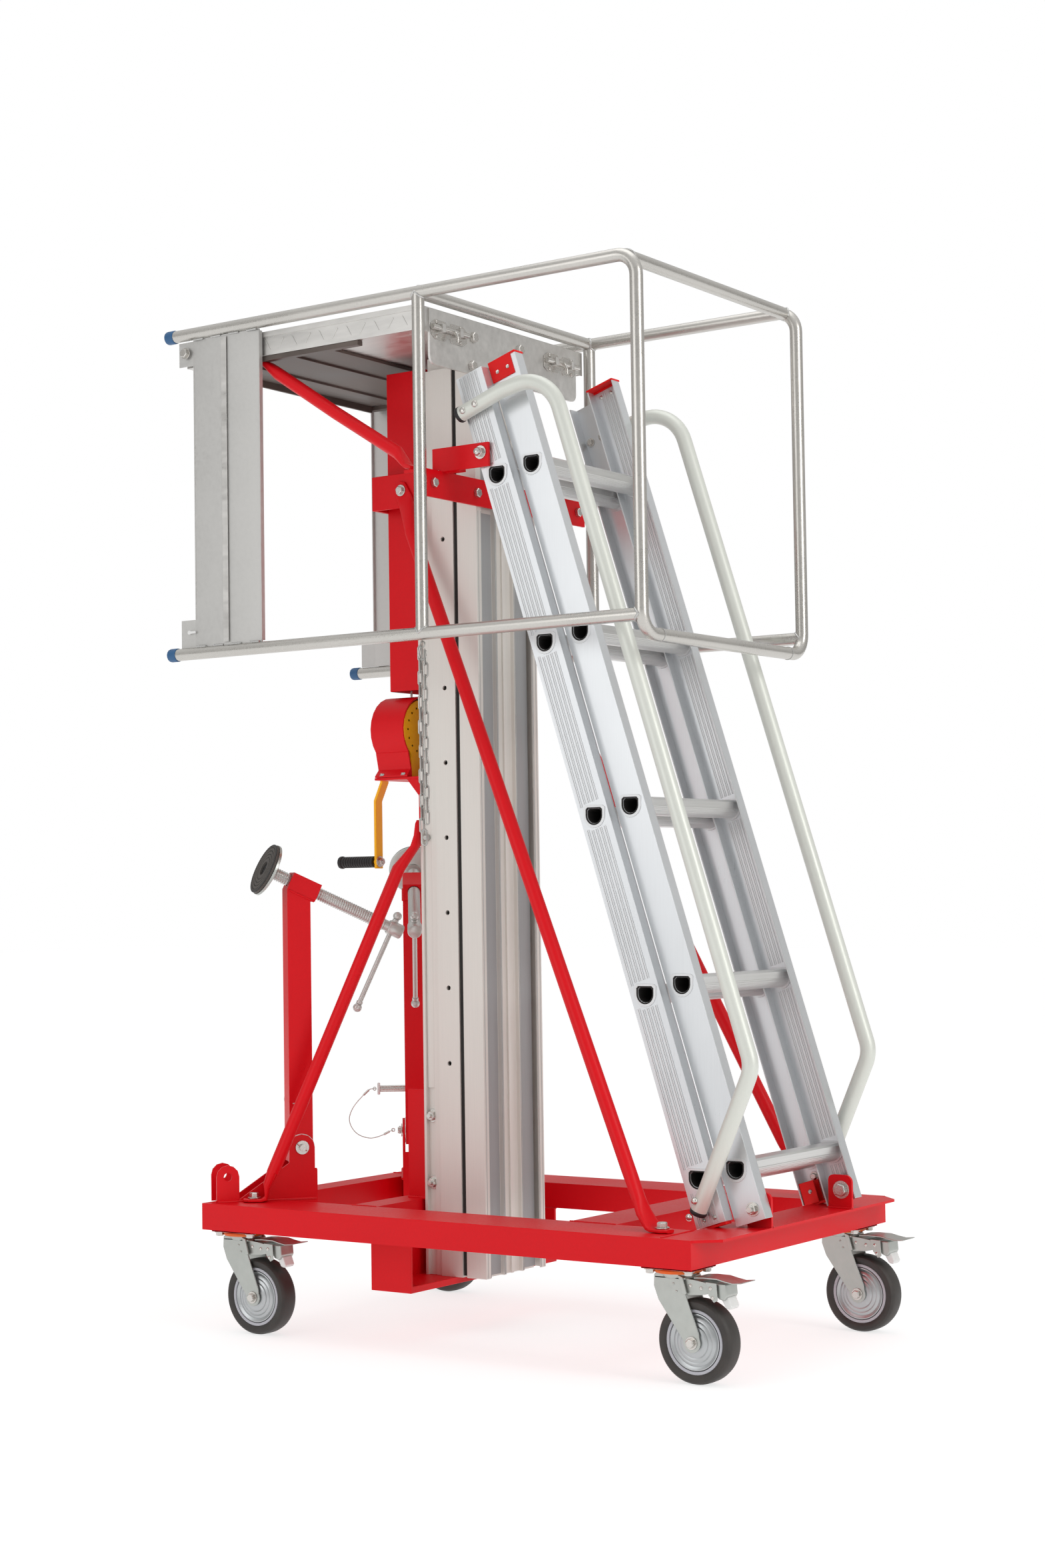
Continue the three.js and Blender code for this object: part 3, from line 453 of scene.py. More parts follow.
class Leg:
    """Space of a stabiliser leg: t outwards, z up, w across the swing plane."""

    def __init__(self, side):
        self.out = Vector((LEG_OUT[0], side * LEG_OUT[1], 0))
        self.across = self.out.cross(Z)
        self.origin = Vector((LEG_ORIGIN[0], side * LEG_ORIGIN[1], 0))

    def at(self, t, z, w=0):
        return self.origin + self.out * t + self.across * w + Z * z

    def along(self, d, off=0, w=0):
        """A point d along the jack screw's axis and off below it."""
        u, v = SCREW_DIR
        return self.at(u * d + v * off, SCREW_Z + v * d - u * off, w)


def bolts(name, places, look, body, across=15, height=6, washer=1.6):
    """Hexagon heads; each place is a point on the surface and the way it faces."""
    shape = Shape()
    for at, axis in places:
        shape.hexagon(at, axis, across, height, washer)
    piece(name, shape, look, body, bevel=0.5)


def domes(name, places, look, body, radius=7, height=4):
    """Round button heads, such as rivets and dome nuts."""
    shape = Shape()
    for at, axis in places:
        profile = [(radius, -0.5), (radius, height * 0.25)]
        profile += [(radius * math.cos(t), height * (0.25 + 0.75 * math.sin(t)))
                    for t in (math.radians(15 * k) for k in range(1, 6))]
        shape.turned(profile, at, axis, 20)
    piece(name, shape, look, body)


def bead(shape, path, size):
    """A rippled weld run along a path."""
    path = [Vector(p) for p in path]
    points, radii = [], []
    for a, b in zip(path, path[1:]):
        steps = max(2, int((b - a).length / 3))
        for k in range(steps):
            points.append(a.lerp(b, k / steps))
            radii.append(size * (1.12 if len(points) % 2 else 0.9))
    return shape.sweep(points + [path[-1]], radii + [size], 8)


def saddle(shape, at, branch, main, radius, size):
    """Weld round a tube that ends on the side of another tube of the same radius."""
    branch, main = Vector(branch).normalized(), Vector(main).normalized()
    other = branch.cross(main)
    points, radii = [], []
    for k, t in enumerate(turns(40)):
        deep = math.sqrt(max(radius ** 2 - (radius * math.sin(t)) ** 2, 0))
        points.append(Vector(at) + branch * deep
                      + radius * (math.cos(t) * main + math.sin(t) * other))
        radii.append(size * (1.1 if k % 2 else 0.9))
    return shape.sweep(points, radii, 8, loop=True)


def cord_curve(name, route, radius, look):
    """A round cord along the route as a curve object, and its length in metres."""
    data = bpy.data.curves.new(name, "CURVE")
    data.dimensions = "3D"
    spline = data.splines.new("POLY")
    spline.points.add(len(route) - 1)
    for point, place in zip(spline.points, route):
        point.co = (*metres(place), 1)
    data.bevel_depth = radius / 1000
    data.bevel_resolution = 4
    data.use_fill_caps = True
    data.materials.append(look)
    obj = new_object(name, data)
    length = sum((Vector(b) - Vector(a)).length for a, b in zip(route, route[1:])) / 1000
    return obj, length


# ---- base
finished("base_frame", RED, "base", 1.6)
finished("mast_foot_bracket", RED, "base", 1.2)

welds = Shape()
for name, side in SIDES:
    leg = Leg(side)
    for w in (-EAR_W, EAR_W):       # leg bracket and corner clevis
        for start, end, size in ((-28, 136, 2.6), (131, 174, 3)):
            bead(welds, [leg.at(start, BASE_TOP, w), leg.at(end, BASE_TOP, w)], size)
    bead(welds, [leg.at(175, BASE_TOP, -31), leg.at(175, BASE_TOP, -25)], 3)
    for path, size in (             # ladder lug, mast bracket, then the rails' own joints
            (((560, 151.5), (610, 151.5)), 2.4),
            (((-213, 39), (-213, 97), (-259, 97)), 3.2),
            (((-221, 39), (-221, 89)), 3.2)):
        bead(welds, [(x, side * y, BASE_TOP) for x, y in path], size)
    for path, z, size in (
            (((-509, 251), (-569, 251)), 258.5, 1.2),
            (((-282, 251), (-222, 250.5)), 258.5, 1.2),
            (((235, 250.5), (337, 251.5)), 258.5, 1.2),
            (((-236, 251), (-138, 251)), 206, 2.2),
            (((505, 366), (505, 254)), 258.5, 1.4)):
        bead(welds, [(x, side * y, z) for x, y in path], size)
piece("base_welds", welds, RED, "base")

places = []
for name, side in SIDES:
    places += [((470, side * 305, 266), Z), ((-488, side * 306, 266), Z)]
    places += [((-198, side * GROOVE_Y, z), Y * side) for z in (291, 424)]
bolts("frame_bolts", places, STEEL, "base", 17, 9, 2)
bolts("mast_nuts", [((-199, side * GROOVE_Y, z), Y * side) for side in (-1, 1)
                    for z in (981, 1626, 1772, 1880)], ZINC, "base", 13, 8, 1.5)
shape = Shape()
for side in (-1, 1):
    for z in (291, 424, 981):
        shape.rod((-198, side * 101, z), (-198, side * 110, z), 4.5, 14)
piece("mast_bolt_tips", shape, STEEL, "base", bevel=0.6)

# ladder lugs: bolt through the lug and the stile, a head and washer on both ends
for name, side in SIDES:
    outer = Vector((LUG_X, side * 186, LUG_Z))
    inner = Vector((LUG_X, side * 152, LUG_Z))
    shape = Shape().hexagon(inner, -Y * side, 22, 8, 2.2)
    shape.hexagon(outer, Y * side, 17, 8, 2)
    shape.rod(outer, outer + Y * side * 15, 5.6, 18)
    shape.rod(inner, outer, 5.6, 18)
    piece("ladder_foot_bolt_" + name, shape, STEEL, "base", bevel=0.5)

# ---- mast
finished("mast_outer", MAST, "base", 0.7)
finished("mast_inner", MAST, "carriage", 0.7)
# dark strips in the gap between the two mast sections: painted shade in the gap
piece("mast_gap_painted_shade", Shape().pair(-121.6, -113.2, 89.5, 99.5, FOOT_Z, FIXED_TOP), DARK, "base")
piece("mast_groove_floor", Shape().pair(-206.6, -190.4, 95.2, 97.6, 480, 1910), MAST, "base",
      bevel=0.3)
# thin dark plates on the recess floors are painted shade in the recesses; thin dark rods draw lines
# along the face
shape = Shape().pair(-78.4, -77.6, 35, 84, FOOT_Z, 1630).pair(-78.4, -77.6, 35, 84, 1695, 1895)
for side in (-1, 1):
    for x, y, r in ((-68.9, 30.2, 0.7), (-68.9, 33.2, 0.7), (-64, 87, 0.6), (-64, 97, 0.6)):
        shape.rod((x, side * y, 110), (x, side * y, 1630), r, 8)
piece("mast_face_lines_and_recess_shade", shape, RECESS_SHADE_AND_LINES, "carriage")
piece("mast_end_blocks", Shape().pair(-110, -68, 78, 101, 1955.4, 1961), DARK, "carriage",
      bevel=1)

finished("cable_housing", RED, "base", 1.6)
finished("rear_collar", RED, "base", 1.2)
bolts("brace_top_bolts", [((-240, side * 119.2, 1686), Y * side) for side in (-1, 1)],
      STEEL, "base", 15, 7, 2)

cable = [(-290, -30, 1205), (-289, -28, 1290), (-286, -8, 1600), (-285, 0, 1900)]
line, line_length = cord_curve("lifting_cable", filleted(cable, [600, 900], 4), 2.5, STEEL)

# ---- braces
def aligned(station, side, other):
    """A section whose two axes run the same way as the tube's own."""
    centre, u, a, v, b = station
    if abs(u.dot(side)) < abs(v.dot(side)):
        u, a, v, b = v, b, u, a
    return centre, u if u.dot(side) > 0 else -u, a, v if v.dot(other) > 0 else -v, b


for name, side in SIDES:
    for kind, top, foot, radius, end in (
            ("front", (-238, side * 126.5, 1672), (436, side * 299, 267), 13.5, (470, side * 305)),
            ("rear", (-228, side * 112, 985), (-475, side * 296, 265.5), 13, (-488, side * 306))):
        start, finish = Vector(top), Vector(foot)
        run = (finish - start).normalized()
        level = run.cross(Z).normalized()
        other = run.cross(level)
        if kind == "front":      # its flat lies against the side of the collar
            at, rise = Vector((-240, side * 115.8, 1684)), Vector((-run.x, 0, -run.z)).normalized()
            wide = rise.cross(Y)
            tops = [(at + rise * 20, Y, 3, wide, 8), (at + rise * 14, Y, 3.2, wide, 15),
                    (at - rise * 16, Y, 3.4, wide, 18),
                    (at - rise * 34 + Y * side * 3.5, Y, 7, wide, 17)]
        else:                    # its flat lies against the back of the mast
            at = Vector((-218.5, side * 103, 992))
            tops = [(at + Z * 25, Y, 4, X, 2.6), (at + Z * 18, Y, 9, X, 2.9),
                    (at - Z * 6 + Y * side * 1.5, Y, 12, X, 4),
                    (at - Z * 26 - X * 3 + Y * side * 5, Y, 13, X, 8)]
        middle = [(start.lerp(finish, f), level, radius, other, radius)
                  for f in (0.055 if kind == "front" else 0.09, 0.3, 0.6, 0.93)]
        flat_way = Vector((end[0] - top[0], end[1] - top[1], 0)).normalized()
        across = flat_way.cross(Z)
        down = Vector((end[0], end[1], 262))
        feet = [(finish - run * 52 + Z * 2, across, 14, Z.cross(across), 12),
                (finish - run * 22 + Z * 4, across, 17, (Z + flat_way).normalized(), 8.5),
                (down - flat_way * 24 + Z * 3.5, across, 19.5, (Z * 2 + flat_way).normalized(), 5),
                (down - flat_way * 15, across, 19.5, Z, 3.4),
                (down + flat_way * 10, across, 18, Z, 3.3),
                (down + flat_way * 21, across, 9, Z, 3.3)]
        shape = Shape().flat_bar([aligned(s, level, other) for s in tops + middle + feet])
        piece(f"brace_{kind}_{name}_tube", shape, RED, "base", [f"brace_{kind}_{name}"])
    y = side * 262
    shape = Shape().flat_bar([
        (Vector((-498, y, 1956.5)), Y, 13, Z, 3), (Vector((-476, y, 1956)), Y, 18, Z, 4),
        (Vector((-462, y, 1946)), Y, 16, Vector((0.45, 0, 0.9)), 8),
        (Vector((-440, y, 1927.9)), Y, 13, Vector((0.54, 0, 0.84)), 13),
        (Vector((-290, y, 1829.1)), Y, 13, Vector((0.54, 0, 0.84)), 13),
        (Vector((-136, y, 1732.4)), Y, 13, Vector((0.54, 0, 0.84)), 13),
        (Vector((-120, y, 1713)), Y, 16, Vector((0.45, 0, 0.9)), 8),
        (Vector((-110, y, 1702)), Y, 17, Z, 6), (Vector((-96, y, 1697)), Y, 13, Z, 4)])
    piece("brace_platform_%s_tube" % name, shape, RED, "carriage", ["brace_platform_" + name])

# ---- winch
finished("winch_bracket", RED, "base", 1.0)
finished("winch_frame", YELLOW, "base", 0.5)
finished("winch_cover", RED, "base", 0.5)
finished("winch_drum", ZINC, "crank", 0.8)
finished("winch_crank", YELLOW, "crank", 1.2)
bolts("winch_bolts", [((x, y, 1109.5), Z) for x in (-313, -259) for y in (-97, 7)]
      + [((-328, WINCH_Y + 40 * math.cos(a), WINCH_Z + 40 * math.sin(a)), -X)
         for a in (0.6, 2.5, 4.3)],
      STEEL, "base", 9, 4.5, 1)
wraps = Shape()
coil = [(-316 + 0.55 * k * 5 / 6, WINCH_Y + 29 * math.cos(math.radians(k * 30)),
         WINCH_Z + 29 * math.sin(math.radians(k * 30))) for k in range(114)]
wraps.sweep([p for p in coil if p[0] < -262], 2.6, 8)
piece("cable_wraps", wraps, STEEL, "crank")
shape = Shape()
for t in turns(16):
    shape.box(-4, 4, -2, 2, -2, 2)
    spin = Quaternion(X, t)
    for v in shape.verts[-8:]:
        v.xyz = spin @ (v + Vector((0, 0, 47))) + Vector((-254, WINCH_Y, WINCH_Z))
piece("ratchet_teeth", shape, ZINC, "crank")
shape = Shape()
spring = [(-247.5, WINCH_Y + 20 + 5 * math.cos(k * 0.8), WINCH_Z + 8 + 0.8 * k)
          for k in range(40)]
shape.sweep(spring, 0.8, 6)
piece("pawl_spring", shape, STEEL, "base")
foot = Vector((CRANK_X, WINCH_Y, CRANK_Z))
shape = Shape().hexagon(foot, X, 15, 7, 1.6)
shape.rod(foot, foot + X * 11, 4, 14)
shape.hexagon(Vector((-352.5, WINCH_Y, WINCH_Z)), -X, 17, 8, 2)
piece("crank_nuts", shape, STEEL, "crank", bevel=0.5)
profile = [(9, 0), (11.6, 0.5)]
for k in range(13):          # ribs of the grip
    base = 2 + k * 6.2
    profile += [(11.8, base), (11.8, base + 4.4), (10.9, base + 4.9), (10.9, base + 5.7)]
profile += [(12.9, 84), (13.2, 87), (12.6, 90.5), (10, 91.5)]
shape = Shape().turned(profile, (CRANK_X - 12.5, WINCH_Y, CRANK_Z), -X, 36)
piece("crank_grip_ribs", shape, BLACK, "grip", ["crank_grip"])

# ---- platform
back, front = DECK_X
shape = Shape().box(back, front, -DECK_Y, DECK_Y, DECK_TOP - 4, DECK_TOP)
shape.box(back, front, 3 - DECK_Y, DECK_Y - 3, DECK_LOW, DECK_LOW + 2)
shape.box(back, back + 3, 3 - DECK_Y, DECK_Y - 3, DECK_LOW + 2, DECK_TOP - 4)
for side in (-1, 1):
    shape.box(back, front, side * (DECK_Y - 3), side * DECK_Y, DECK_LOW, DECK_TOP - 4)
    shape.box(DECK_END, back - 0.2, side * 265, side * 284.5, DECK_LOW + 0.5, DECK_TOP - 0.5)
piece("platform_deck_sheets", shape, GALV, "carriage", ["platform_deck"], bevel=0.8)
finished("front_panel", GALV, "carriage", 0.8)
shape = Shape()
for side in (-1, 1):
    for k in range(15):
        x = -588 + k * 35
        lean = 6 if k % 2 else -6
        outline = [(x - lean - 1.6, 1974), (x - lean + 1.6, 1974), (x + lean + 2.6, 1993),
                   (x + lean - 0.6, 1995)]
        shape.slab(outline, side * 284.6, side * 285.7)
    shape.box(DECK_END, -66, side * 284, side * 287.2, 2001, 2011.6)
piece("deck_side_marks", shape, GALV, "carriage", bevel=0.3)
shape = Shape()
for row in range(17):
    for column in range(14):
        x, y = -596 + row * 32, -247 + column * 38
        lean = 1 if (row + column) % 2 else -1
        a, b = Vector((9, 9 * lean, 0)), Vector((-2.4 * lean, 2.4, 0))
        at = Vector((x, y, DECK_TOP - 0.2))
        low = [at - a, at + b, at + a, at - b]
        shape.loft([low, [p + Z * 1.0 + (at - p) * 0.2 for p in low]])
piece("deck_tread", shape, GALV, "carriage")
# bearers under the deck, coloured with the underside's painted shade
shape = Shape()
for x in (-560, -430, -330):
    shape.box(x, x + 34, -262, 262, DECK_LOW - 7, DECK_LOW)
shape.pair(-622, -216, 268, 284, DECK_LOW - 10, DECK_LOW)
shape.box(-622, -616, -268, 268, DECK_LOW - 15, DECK_LOW)
piece("deck_bearers", shape, UNDERSIDE_SHADE, "carriage", bevel=1)
# a dark sheet just under the deck's bottom plate: painted shade on the underside
piece("deck_belly_painted_shade", Shape().box(-611, -330, -255, 255, 1960.5, 1962.8), UNDERSIDE_SHADE, "carriage",
      bevel=0.5)

piece("deck_end_plates", Shape().pair(-65.5, -62.5, 252, 286, 1962, 2011), GALV, "carriage",
      bevel=0.6)
bolts("panel_bolts", [((PANEL_X, y, z), X) for y, z in
                      ((-114, 1974), (46, 1976), (-119, 1916), (119, 1916))],
      STEEL, "carriage", 19, 9, 0)
for name, side in SIDES:
    plate = [(135, 1958), (148, 1950), (186, 1950), (190, 1957), (202, 1957), (206, 1950),
             (240, 1950), (252, 1958), (252, 1981), (240, 1989), (206, 1989), (202, 1983),
             (190, 1983), (186, 1989), (148, 1989), (135, 1981)]
    shape = Shape().prism([(side * u, v) for u, v in plate], Y, Z, PANEL_X, PANEL_X + 1.6)
    piece("latch_plate_" + name, shape, STEEL, "carriage", bevel=0.4)
    screws = Shape()
    for y in (156, 236):
        for z in (1955.5, 1984.5):
            screws.turned([(4.2, 0), (4.2, 1.4), (2.6, 3.2)], (-57, side * y, z), X, 14)
    piece("latch_screws_" + name, screws, STEEL, "carriage")
    shape = Shape().rod((LATCH_X, side * 138, LATCH_Z), (LATCH_X, side * 256, LATCH_Z), 5.4, 24)
    knob = [(x, side * 192, z) for x, z in
            ((LATCH_X, LATCH_Z), (-42, 1968), (-38, 1958), (-38, 1948))]
    shape.sweep(filleted(knob, [6, 6], 5), 3, 12)
    piece("latch_rod_" + name, shape, STEEL, "latch_" + name, ["latch_bolt_" + name], bevel=0.4)

finished("ladder_bar", RED, "carriage", 1.0)
bolts("bar_bolts", [((-57.4, y, 1661 + 0.02 * abs(y)), X) for y in (-252, -109, 109, 252)],
      STEEL, "carriage", 17, 8, 0)
shape = Shape()
for side in (-1, 1):
    bead(shape, [(-64, side * 224, 1692.5), (-100, side * 224, 1692.5)], 2.5)
    shape.hexagon((ARM_X, side * ARM_Y, ARM_Z), Y * side, 17, 8, 2)
    shape.rod((ARM_X, side * 190, ARM_Z), (ARM_X, side * 222, ARM_Z), 3.2, 16)
    shape.turned([(7.6, 0), (7.6, 3), (6.4, 6.5), (3.4, 8.4), (0.6, 9)],
                 (ARM_X, side * 231, ARM_Z), Y * side, 20)
piece("arm_bolts", shape, STEEL, "carriage", bevel=0.4)
shape = Shape()
for side in (-1, 1):
    bead(shape, [(-56.5, side * 219, 1691), (-20, side * 219, 1690.5)], 2.2)
    bead(shape, [(-107, side * 262, 1692.5), (-96, side * 276, 1692.5)], 2.5)
piece("bar_welds", shape, RED, "carriage")

# ---- guard cage
welds, caps = Shape(), Shape()
for name, side in SIDES:
    y = side * CAGE_Y
    rail = filleted([(CAGE_BACK, y, CAGE_TOP), (CAGE_END, y, CAGE_TOP),
                     (CAGE_END, y, CAGE_CROSS), (CAGE_END, side * 240, CAGE_CROSS)], [42, 42], 10)
    shape = Shape().sweep(rail, CAGE_R, 24)
    shape.rod((CAGE_BACK, y, CAGE_LOW), (CAGE_END, y, CAGE_LOW), CAGE_R, 24)
    shape.rod((CAGE_MID, y, CAGE_TOP), (CAGE_MID, y, CAGE_LOW), CAGE_R, 24)
    piece("cage_side_%s_tubes" % name, shape, TUBE, "cage", ["cage_side_" + name])
    for x, z, branch, main, size in (
            (CAGE_MID, CAGE_TOP, -Z, X, 2.2), (CAGE_MID, CAGE_LOW, Z, X, 2.2),
            (CAGE_END, CAGE_LOW, -X, Z, 2.2), (CAGE_MID, CAGE_TOP, -Y * side, X, 2.2),
            (424, CAGE_TOP - 4, -Y * side, X, 1.8)):
        saddle(welds, (x, y, z), branch, main, CAGE_R, size)
    for z in (CAGE_TOP, CAGE_LOW):
        caps.turned([(13.6, 0), (13.9, 1.5), (13.9, 18), (13, 21.5), (10, 23)],
                    (-684, y, z), -X, 28)
piece("cage_welds", welds, WELD, "cage")
piece("cage_end_caps", caps, BLUE, "cage", bevel=0.4)
for node, x, z, reach in (("cage_cross_mid", CAGE_MID, CAGE_TOP, 287.2),
                          ("cage_cross_top", 424, CAGE_TOP - 4, 287.2),
                          ("cage_cross_bottom", CAGE_END, CAGE_CROSS, 239.8)):
    shape = Shape().rod((x, -reach, z), (x, reach, z), CAGE_R, 24)
    piece(node + "_tube", shape, TUBE, "cage", [node])
joint = Shape()
for side in (-1, 1):
    joint.ring([(12.3, -1.2), (13.3, -1.2), (13.6, 0), (13.3, 1.2), (12.3, 1.2)],
               (CAGE_END, side * 239.9, CAGE_CROSS), Y, 28)
piece("cage_butt_welds", joint, WELD, "cage")

for name, side in SIDES:
    finished("toe_board_" + name, SHEET, "cage", 0.3)
    strip = Shape().box(-555, -541, side * 305.8, side * 307, 1386, 2012)
    piece("toe_board_crease_" + name, strip, GALV, "cage", bevel=0.3)
    shape = Shape()
    for x, z0, z1 in ((-459.6, 1384, 2014), (-636.4, 1440, 1964)):
        shape.box(x - 1.2, x + 1.2, side * 289, side * 299.5, z0, z1)
    piece("toe_board_folds_" + name, shape, SHEET, "cage", bevel=0.5)
    run = Shape()
    for z in (1381.5, 2016.5):
        for k in range(4):
            bead(run, [(-632 + k * 48, side * 302.5, z), (-606 + k * 48, side * 303.5, z)], 2.2)
    piece("toe_board_welds_" + name, run, WELD, "cage")
    slot = Shape().slab(arc(-651, 1412, 4, 0, 360, 16)[1:], side * (TOE_Y - 1), side * (TOE_Y + 1))
    slot.box(-651, -634, side * 302.8, side * 304.5, 1409.6, 1414.4)
    piece("toe_board_keyhole_" + name, slot, WHITE, "cage")
    shape = Shape().turned([(12, 0), (12, 1.8)], (-654, side * 304.2, 1991), Y * side, 24)
    shape.hexagon((-654, side * 306, 1991), Y * side, 17, 7, 0)
    shape.rod((-654, side * 285, 1991), (-654, side * 304, 1991), 4.8, 16)
    piece("cage_pivot_bolt_" + name, shape, STEEL, "cage", bevel=0.5)

# safety chain: two strands of short links from a hook and ring, a long link lowest
def link(shape, centre, along, across, length, width, wire=1.65):
    half, round_part = length / 2 - wire, width / 2 - wire
    points = []
    for t in turns(24):
        stretch = (half - round_part) * (1 if math.sin(t) >= 0 else -1)
        points.append(centre + across * (round_part * math.cos(t))
                      + along * (round_part * math.sin(t) + stretch))
    shape.sweep(points, wire, 8, loop=True)


chain = Shape()
for strand, x in enumerate((-59.0, -46.5)):
    for k in range(15 - strand):
        z = 1330 - k * 23.6 - strand * 9
        across, width = (X, 12.5) if k % 2 == strand else (Y, 8)
        link(chain, Vector((x + 0.8 * math.sin(k * 1.7), -CAGE_Y, z)), Z, across, 31, width)
link(chain, Vector((-54, -CAGE_Y, 976)), Z, X, 34, 17, 2.1)
chain.ring([(5, -2), (7, 0), (5, 2), (3.6, 0)], (-52.5, -CAGE_Y, 1347), Y, 20)
hook = [(x, -CAGE_Y, z) for x, z in
        ((-58, 1342), (-62, 1330), (-58, 1318), (-50, 1316), (-46, 1326), (-49, 1338))]
chain.sweep(filleted(hook, [5, 5, 5, 5], 4), 2.2, 10)
piece("safety_chain_links", chain, CHAIN, "chain", ["safety_chain"])

# ---- ladder
def d_outline(radius, steps=28):
    """D shape with its flat side up, the same number of points for every radius."""
    flat = radius * 0.8
    points = [(radius * math.cos(a), radius * math.sin(a))
              for a in (math.pi + math.pi * k / steps for k in range(steps + 1))]
    points += [(radius, flat - 4), (radius - 4, flat), (0, flat), (-radius + 4, flat),
               (-radius, flat - 4)]
    return points


def d_ring(shape, centre, inner, outer, start, end, teeth=0.0):
    """A collar of D shape from start to end along Y, its rim optionally notched."""
    def ring(radius, y, notch=0.0):
        return [centre + Vector((u * (1 + (notch if i % 2 else 0) / radius), y,
                                 v * (1 + (notch if i % 2 else 0) / radius)))
                for i, (u, v) in enumerate(d_outline(radius))]
    shape.loft([ring(inner, start), ring(outer, start, teeth), ring(outer - 0.6, end, teeth),
                ring(inner, end)], loop=True)


def ladder_box(shape, n0, n1, y0, y1, s0, s1):
    """A box along the ladder's own axes."""
    low, high = sorted((y0, y1))
    shape.prism([(n0, low), (n1, low), (n1, high), (n0, high)], OUT, Y, s0, s1)


finished("ladder_lower", LADDER_SMOOTH, "ladder_base", 0.5)
finished("ladder_upper", LADDER_SMOOTH, "ladder_top", 0.5)
# n is a stile's middle, web its outer face, first the lowest rung, s0 and s1 its ends
for node, n, web, first, s0, s1, body, ribbed_out in (
        ("lower", 637.5, 186, 178, 79, 1796, "ladder_base", False),
        ("upper", 571.5, 212, 180, 94, 1791, "ladder_top", True)):
    rungs, rings, shades, ribs, edges = Shape(), Shape(), Shape(), Shape(), Shape()
    rises = [first + i * RUNG_PITCH for i in range(RUNGS)]
    for rise in rises:
        at = in_ladder(n, rise, 0)
        outline = []
        for k, (u, v) in enumerate(d_outline(19.3, 44)):
            grow = 1.018 if k % 2 else 1.0     # flutes
            outline.append((u * grow, v * grow))
        outer = [[at + Vector((u, y, v)) for u, v in outline] for y in (-web + 3.2, web - 3.2)]
        inner = [[at + Vector((u * 0.93, y, v * 0.93)) for u, v in outline]
                 for y in (web - 3.2, -web + 3.2)]
        rungs.loft(outer + inner, loop=True)
        for side in (-1, 1):
            d_ring(rings, at, 18.6, 23.6, side * (web - 0.5), side * (web + 1.6), 0.8)
            d_ring(rings, at, 19.0, 23.4, side * (web - 2.8), side * (web - 5.4), 0.8)
            # dark rings at the rung mouths and a dark lining inside the rungs: painted shade that
            # makes the hollow interior black
            d_ring(shades, at, 15.8, 19.2, side * (web - 1.5), side * (web + 1.1))
            d_ring(shades, at, 14.4, 15.5, side * (web - 100), side * (web - 1))
    piece(node + "_rungs", rungs, RUNG, body, smooth=12)
    piece(node + "_rung_collars", rings, LADDER, body, smooth=50)
    piece(node + "_rung_mouths_painted_shade", shades, DARK, body)
    stops = [s0 + 3] + rises + [s1 - 3]
    face = (web - 0.3, web + 1.1) if ribbed_out else (web - 4.0, web - 2.7)
    offsets = (-26, -16.5, -7, 2.5, 12) if ribbed_out else (-15, -6, 3, 12, 21)
    for side in (-1, 1):
        for a, b in zip(stops, stops[1:]):
            for offset in offsets:
                clear = 26 if abs(offset) < 20 else 22
                start = a + (clear if a != stops[0] else 0)
                end = b - (clear if b != stops[-1] else 0)
                for left in (n + offset, n + offset + 3.6):
                    ladder_box(ribs, left, left + 2.4, side * face[0], side * face[1],
                               start, end)
        for offset in (-31.2, 31.2):
            ladder_box(edges, n + offset - 0.8, n + offset + 0.8, side * (web - 26.8),
                       side * (web - 24.4), s0 + 0.5, s1 - 0.5)
    piece(node + "_stile_ribs", ribs, LADDER, body)
    piece(node + "_stile_lips", edges, LADDER, body, bevel=0.3)
    if ribbed_out:
        feet, screws = Shape(), Shape()
        for side in (-1, 1):
            ladder_box(feet, n - 29, n + 29, side * (web - 24), side * (web - 3.2),
                       s0 - 5.5, s0 - 0.5)
            for inner, outer in ((web - 6.4, web - 3.3), (web - 25.5, web - 22.8)):
                ladder_box(feet, n - 28, n + 5, side * inner, side * outer, s0 - 2, s0 + 42)
            for offset in (-12, 12):
                screws.turned([(4, -0.2), (4, 1), (2, 3)],
                              in_ladder(n + offset, s0 + 12, side * (web + 0.6)), Y * side, 14)
            screws.turned([(4, 0), (4, 1), (2, 3)],
                          in_ladder(n - 8, s0 + 22, side * (web - 25.6)), -Y * side, 14)
        piece("stile_feet", feet, RED_PLASTIC, body, bevel=0.8)
        piece("stile_foot_screws", screws, ZINC, body)
    else:
        caps, screws = Shape(), Shape()
        for side in (-1, 1):
            ladder_box(caps, n - 33, n + 33, side * (web + 2.4), side * (web - 28),
                       s1 - 0.5, s1 + 3.5)
            for inner, outer, depth in ((web + 0.2, web + 2.4, 40), (web - 6, web - 3.2, 4)):
                ladder_box(caps, n - 33, n + 21, side * inner, side * outer, s1 - depth, s1)
            for offset in (-16, 9):
                screws.turned([(4, 0), (4, 1), (2, 3)],
                              in_ladder(n + offset, s1 - 22, side * (web + 2.3)), Y * side, 14)
                screws.turned([(4.4, 0), (4.4, 1), (2, 3)],
                              in_ladder(n + offset, s1 - 15, side * (web - 3)), -Y * side, 14)
        piece("stile_caps", caps, RED_PLASTIC, body, bevel=0.8)
        piece("stile_cap_screws", screws, STEEL, body)

